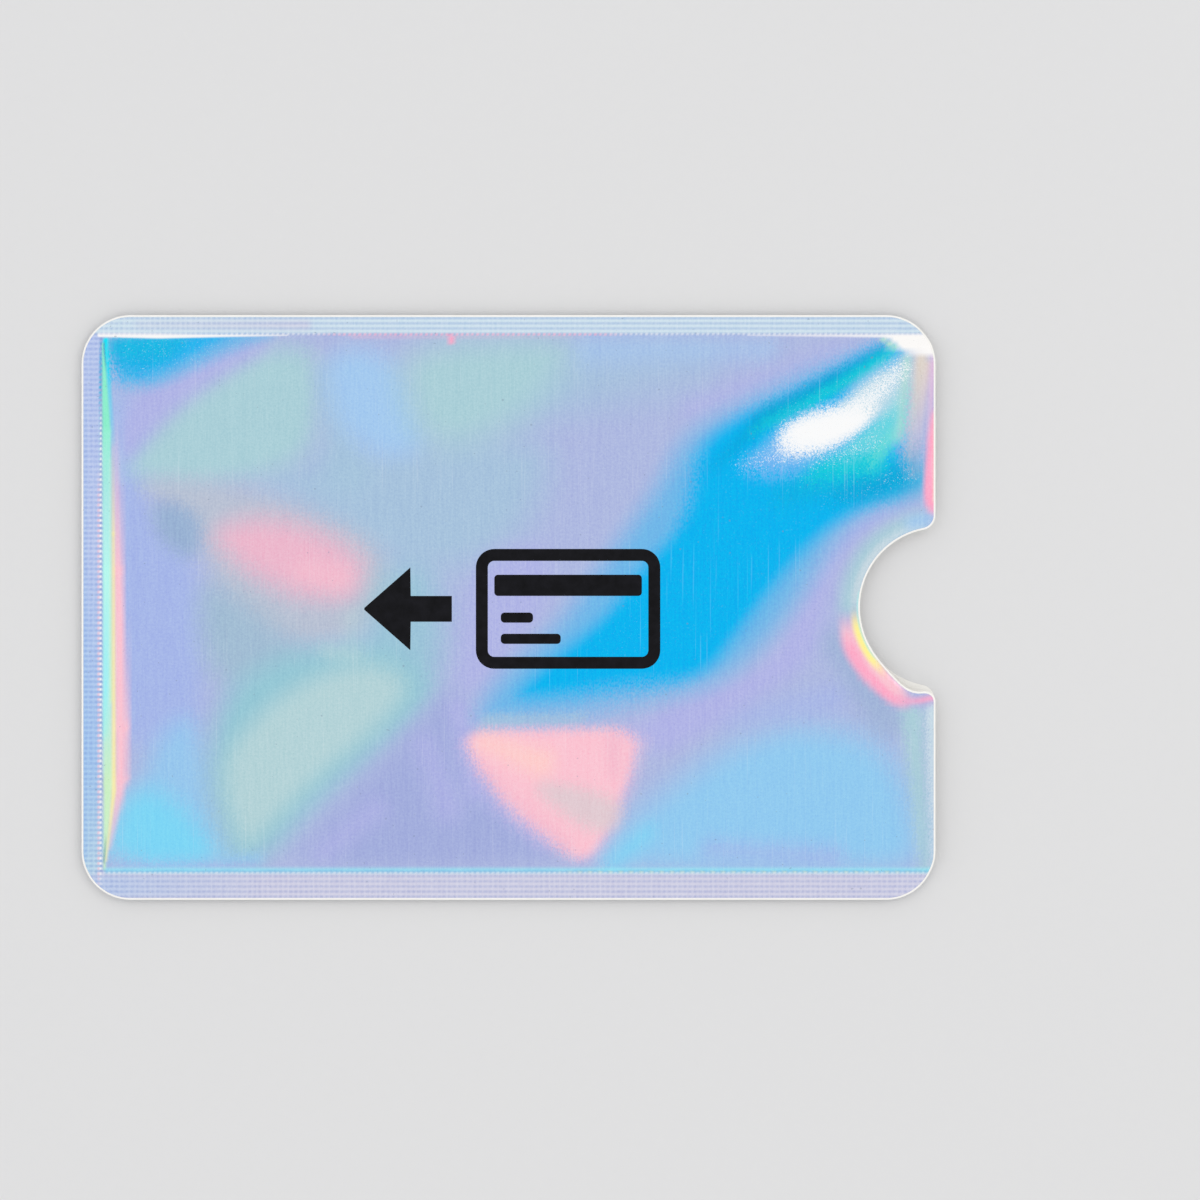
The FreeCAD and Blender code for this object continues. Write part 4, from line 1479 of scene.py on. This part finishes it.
@dataclass
class Print:
    """The black print on the front film: a plain card sign and an arrow towards the closed end."""

    panel: Panel
    materials: Materials
    ink: float = 0.01
    sink: float = 0.004
    card_length: float = 20.0
    card_radius: float = 2.0
    card_turn: float = math.radians(7.5)
    stroke: float = 1.3
    stripe_drop: float = 1.5
    stripe_gap: float = 0.7
    stripe_width: float = 2.3
    bar_inset: float = 1.4
    bar_lengths: Point = (6.5, 3.5)
    bar_width: float = 1.1
    bar_gap: float = 1.2
    bar_radius: float = 0.4
    bar_turn: float = math.radians(15.0)
    arrow_length: float = 9.5
    arrow_head: float = 5.0
    arrow_width: float = 9.0
    arrow_shaft: float = 2.8
    barb: float = 0.04
    tip: float = 0.2
    step: float = 0.33

    def _faces(self, x: Places, y: Places) -> tuple[np.ndarray, np.ndarray]:
        """Upper and lower face of the ink at each place, the lower one sunk a little into the film."""
        film = self.panel.film_top(x, y)
        return np.stack((x, y, film + self.ink), -1), np.stack((x, y, film - self.sink), -1)

    def _bar(self, name: str, left: float, right: float, low: float, high: float) -> bpy.types.Object:
        """A bar with round corners: each row runs between the two ends, drawn in along the corner arcs.

        Args:
            name: the piece's name.
            left: lowest x.
            right: highest x.
            low: lowest y.
            high: highest y.

        Returns:
            The bar's object.
        """
        radius = self.bar_radius
        turn = radius * (1.0 - np.cos(spaced(0.0, math.pi / 2, self.bar_turn)))
        rows = chain(low + turn, spaced(low + radius, high - radius, self.step), (high - turn)[::-1])
        rise = np.clip(np.maximum(low + radius - rows, rows - high + radius), 0.0, radius)
        inset = radius - np.sqrt(radius ** 2 - rise ** 2)
        share = spaced(0.0, 1.0, self.step / (right - left))[None, :]
        x = (left + inset)[:, None] + share * (right - left - 2.0 * inset)[:, None]
        return closed_shell(name, *self._faces(x, np.repeat(rows[:, None], x.shape[1], 1)))

    def _arrow(self, name: str, tip: float, middle: float) -> bpy.types.Object:
        """An arrow that points to -X: at each column it spans its half width to both sides.

        Args:
            name: the piece's name.
            tip: x of the tip.
            middle: y of the shaft's middle line.

        Returns:
            The arrow's object.
        """
        neck, foot = tip + self.arrow_head, tip + self.arrow_length
        columns = chain(spaced(tip, neck, self.step), np.array((neck, neck + self.barb)),
                        spaced(neck + self.barb, foot, self.step))
        head = np.interp(columns, (tip, neck), (self.tip, self.arrow_width)) / 2.0
        half = np.where(columns > neck, self.arrow_shaft / 2.0, head)
        across = spaced(-1.0, 1.0, 2.0 * self.step / self.arrow_width)
        x, y = np.repeat(columns[None, :], len(across), 0), middle + across[:, None] * half[None, :]
        return closed_shell(name, *self._faces(x, y))

    def _frame(self, name: str, left: float, right: float, low: float, high: float) -> bpy.types.Object:
        """The card's outline: a band of rails round a rounded rectangle, sampled in even steps along its rim.

        Args:
            name: the piece's name.
            left: lowest x.
            right: highest x.
            low: lowest y.
            high: highest y.

        Returns:
            The outline's object.
        """
        quarter = spaced(0.0, math.pi / 2, self.card_turn)
        angles = np.concatenate([quarter + turn * math.pi / 2 for turn in range(4)])[:, None]
        signs = np.array(((1, 1), (-1, 1), (-1, -1), (1, -1)))
        middle = np.array((left + right, low + high)) / 2.0
        inset = np.array((right - left, high - low)) / 2.0 - self.card_radius
        corner = np.repeat(middle + signs * inset, len(quarter), 0)
        reach = self.card_radius - spaced(0.0, self.stroke, self.step)
        x = corner[:, :1] + reach * np.cos(angles)
        y = corner[:, 1:] + reach * np.sin(angles)
        x, y = (np.concatenate((rails, rails[:1])) for rails in (x, y))
        travel = np.cumsum(np.hypot(np.diff(x[:, 0], prepend=x[0, 0]), np.diff(y[:, 0], prepend=y[0, 0])))
        places = spaced(0.0, travel[-1], self.step)[:-1]
        x, y = (np.stack([np.interp(places, travel, rail) for rail in rails.T]) for rails in (x, y))
        upper, lower = self._faces(x, y)
        ring = np.concatenate((upper, lower[::-1]))
        number = np.arange(ring[..., 0].size).reshape(ring.shape[:2])
        return make_piece(name, ring.reshape(-1, 3), tiles(np.pad(number, ((0, 1), (0, 1)), mode="wrap")))

    def build(self) -> list[bpy.types.Object]:
        """Make and dress the marks, placed from the box of the print.

        Returns:
            The marks' objects.
        """
        (first, bottom, _), (right, top, _) = node_box("front_print")
        left = right - self.card_length
        inside = self.stroke + self.stripe_gap
        stripe_top = top - self.stroke - self.stripe_drop
        bar_left = left + self.stroke + self.bar_inset
        bar_low = bottom + self.stroke + self.bar_inset
        next_low = bar_low + self.bar_width + self.bar_gap
        long_right, short_right = (bar_left + length for length in self.bar_lengths)
        bars = {
            "card_stripe_print": (left + inside, right - inside, stripe_top - self.stripe_width, stripe_top),
            "long_bar_print": (bar_left, long_right, bar_low, bar_low + self.bar_width),
            "short_bar_print": (bar_left, short_right, next_low, next_low + self.bar_width),
        }
        marks = [self._frame("card_outline_print", left, right, bottom, top)]
        marks += [self._bar(name, *box) for name, box in bars.items()]
        marks.append(self._arrow("arrow_print", first, 0.5 * (top + bottom)))
        for mark in marks:
            mark.data.materials.append(self.materials[INK_FINISH.name])
            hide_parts("front_print")
            INK_FINISH.name
            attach(mark, "root")
        return marks


@dataclass(frozen=True)
class Lamp:
    """A flat soft lamp turned towards the sleeve: how far it leans from overhead, and towards which side."""

    name: str
    lean: float
    bearing: float
    distance: float
    width: float
    height: float
    power: float

    def build(self) -> None:
        """Make the lamp."""
        data = bpy.data.lights.new(self.name, "AREA")
        data.shape = "RECTANGLE"
        data.size = self.width * MM
        data.size_y = self.height * MM
        data.energy = self.power
        lamp = bpy.data.objects.new(self.name, data)
        lean, bearing, distance = math.radians(self.lean), math.radians(self.bearing), self.distance * MM
        aside = distance * math.sin(lean)
        lamp.location = (aside * math.cos(bearing), aside * math.sin(bearing), distance * math.cos(lean))
        lamp.rotation_euler = (0.0, lean, bearing)
        bpy.context.scene.collection.objects.link(lamp)


KEY_LAMP = Lamp("key_lamp", lean=46.0, bearing=25.0, distance=650.0, width=110.0, height=110.0, power=0.16)


@dataclass
class Studio:
    """A pale floor, a soft white room, one lamp beyond the mouth and the camera straight above."""

    view_width: float = 130.1
    view_centre: Point = (9.96, 0.81)
    lens: float = 100.0
    sensor: float = 36.0
    near_clip: float = 10.0
    floor_half: float = 2500.0
    floor_gap: float = 0.02
    room_light: float = 0.99
    lamp: Lamp = KEY_LAMP

    def build(self, top: float) -> None:
        """Make the floor, the lights and the camera.

        Args:
            top: height of the sleeve's top.
        """
        self._floor()
        self._room()
        self.lamp.build()
        self._camera(top)
        bpy.context.scene.view_settings.view_transform = "Standard"

    def _floor(self) -> None:
        """Make a large flat floor just under the sleeve."""
        sides = self.floor_half * np.array(((-1, -1), (1, -1), (1, 1), (-1, 1)))
        points = np.column_stack((sides, np.full(len(sides), -self.floor_gap)))
        floor = make_piece("floor", points, np.arange(len(sides))[None, :])
        floor.data.materials.append(FLOOR_FINISH.material())
        floor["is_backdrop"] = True

    def _room(self) -> None:
        """Make an even white surround."""
        world = bpy.data.worlds.new("white_room")
        world.use_nodes = True
        background = world.node_tree.nodes["Background"]
        background.inputs["Color"].default_value = (1.0, 1.0, 1.0, 1.0)
        background.inputs["Strength"].default_value = self.room_light
        bpy.context.scene.world = world

    def _camera(self, top: float) -> None:
        """Make a camera that looks straight down, with the sleeve's +Y up in the picture.

        Args:
            top: height of the sleeve's top, where the view has its full width.
        """
        data = bpy.data.cameras.new("camera")
        data.lens = self.lens
        data.sensor_width = self.sensor
        data.clip_start = self.near_clip * MM
        camera = bpy.data.objects.new("camera", data)
        height = top + self.view_width * self.lens / self.sensor
        camera.location = (self.view_centre[0] * MM, self.view_centre[1] * MM, height * MM)
        bpy.context.scene.collection.objects.link(camera)
        bpy.context.scene.camera = camera


MOUTH_DROOP = 0.18
SEAL_LAP = 0.2
FRONT_CREASES = (
    Crease((29.0, 19.4), (42.0, 26.6), 0.3, 2.6),
    Crease((-41.0, 17.0), (-26.0, 28.5), 0.12, 2.0),
    Crease((-39.0, 13.0), (-14.0, 6.0), 0.1, 1.8),
    Crease((-33.0, -10.0), (-27.0, -27.5), 0.14, 2.2),
    Crease((-9.0, -9.0), (-26.0, -26.5), 0.12, 1.8),
    Crease((-4.5, -13.4), (8.0, -27.2), 0.16, 1.6),
    Crease((13.4, -13.3), (9.5, -26.5), 0.12, 1.6),
    Crease((2.0, -10.5), (22.0, -6.5), 0.1, 2.0),
    Crease((22.0, -6.5), (38.0, 10.5), 0.14, 2.2),
    Crease((20.0, 18.0), (6.0, -3.0), 0.05, 2.6),
)


def make_pocket(creases: tuple[Crease, ...], droop: float) -> Pocket:
    """The shape that both panels follow, read from the frame.

    Args:
        creases: the panel's own valleys.
        droop: how far the panel's mouth edge bends towards the other panel.

    Returns:
        The pocket. Its shoulders start a lap inside the welds, and its rise is the height of the film's box
        less the film's thickness, by which the film stands over the glue under it.
    """
    liner_high = node_box("front_liner")[1]
    return Pocket(
        end=node_box("end_weld")[1][0] + SEAL_LAP,
        top=node_box("top_weld")[0][1] - SEAL_LAP,
        bottom=node_box("bottom_weld")[1][1] + SEAL_LAP,
        rise=node_box("front_film_glue")[1][2] - node_box("front_film")[0][2],
        cut=DieCut(liner_high[0], liner_high[1]),
        creases=creases,
        mouth_droop=droop,
    )


def dress_welds(frame: dict, material: bpy.types.Material) -> list[bpy.types.Object]:
    """Give the three welds, which stay as packed, a finish of their own.

    Args:
        frame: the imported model.
        material: the welds' finish.

    Returns:
        The welds' objects.
    """
    welds = [frame["nodes"][name] for name in ("top_weld", "bottom_weld", "end_weld")]
    for weld in welds:
        weld.data.materials.clear()
        weld.data.materials.append(material)
    return welds


def main() -> None:
    """Load the frame, build the panels, the print and the studio."""
    logging.basicConfig(level=logging.INFO, format="%(name)s: %(message)s")
    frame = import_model()
    packed_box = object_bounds()
    finishes = (FILM_FINISH, LINER_FINISH, FOIL_FINISH, GLUE_FINISH, WELD_FINISH, INK_FINISH)
    materials = {finish.name: finish.material() for finish in finishes}
    front = Panel(Side.FRONT, make_pocket(FRONT_CREASES, MOUTH_DROOP), materials)
    back = Panel(Side.BACK, make_pocket((), 0.0), materials)
    pieces = front.build() + back.build() + Print(front, materials).build()
    pieces += dress_welds(frame, materials[WELD_FINISH.name])
    for piece in pieces:
        LOG.info("%s: %d faces", piece.name, len(piece.data.polygons))
    Studio().build(packed_box[1][2] / MM)


if __name__ == "__main__":
    main()
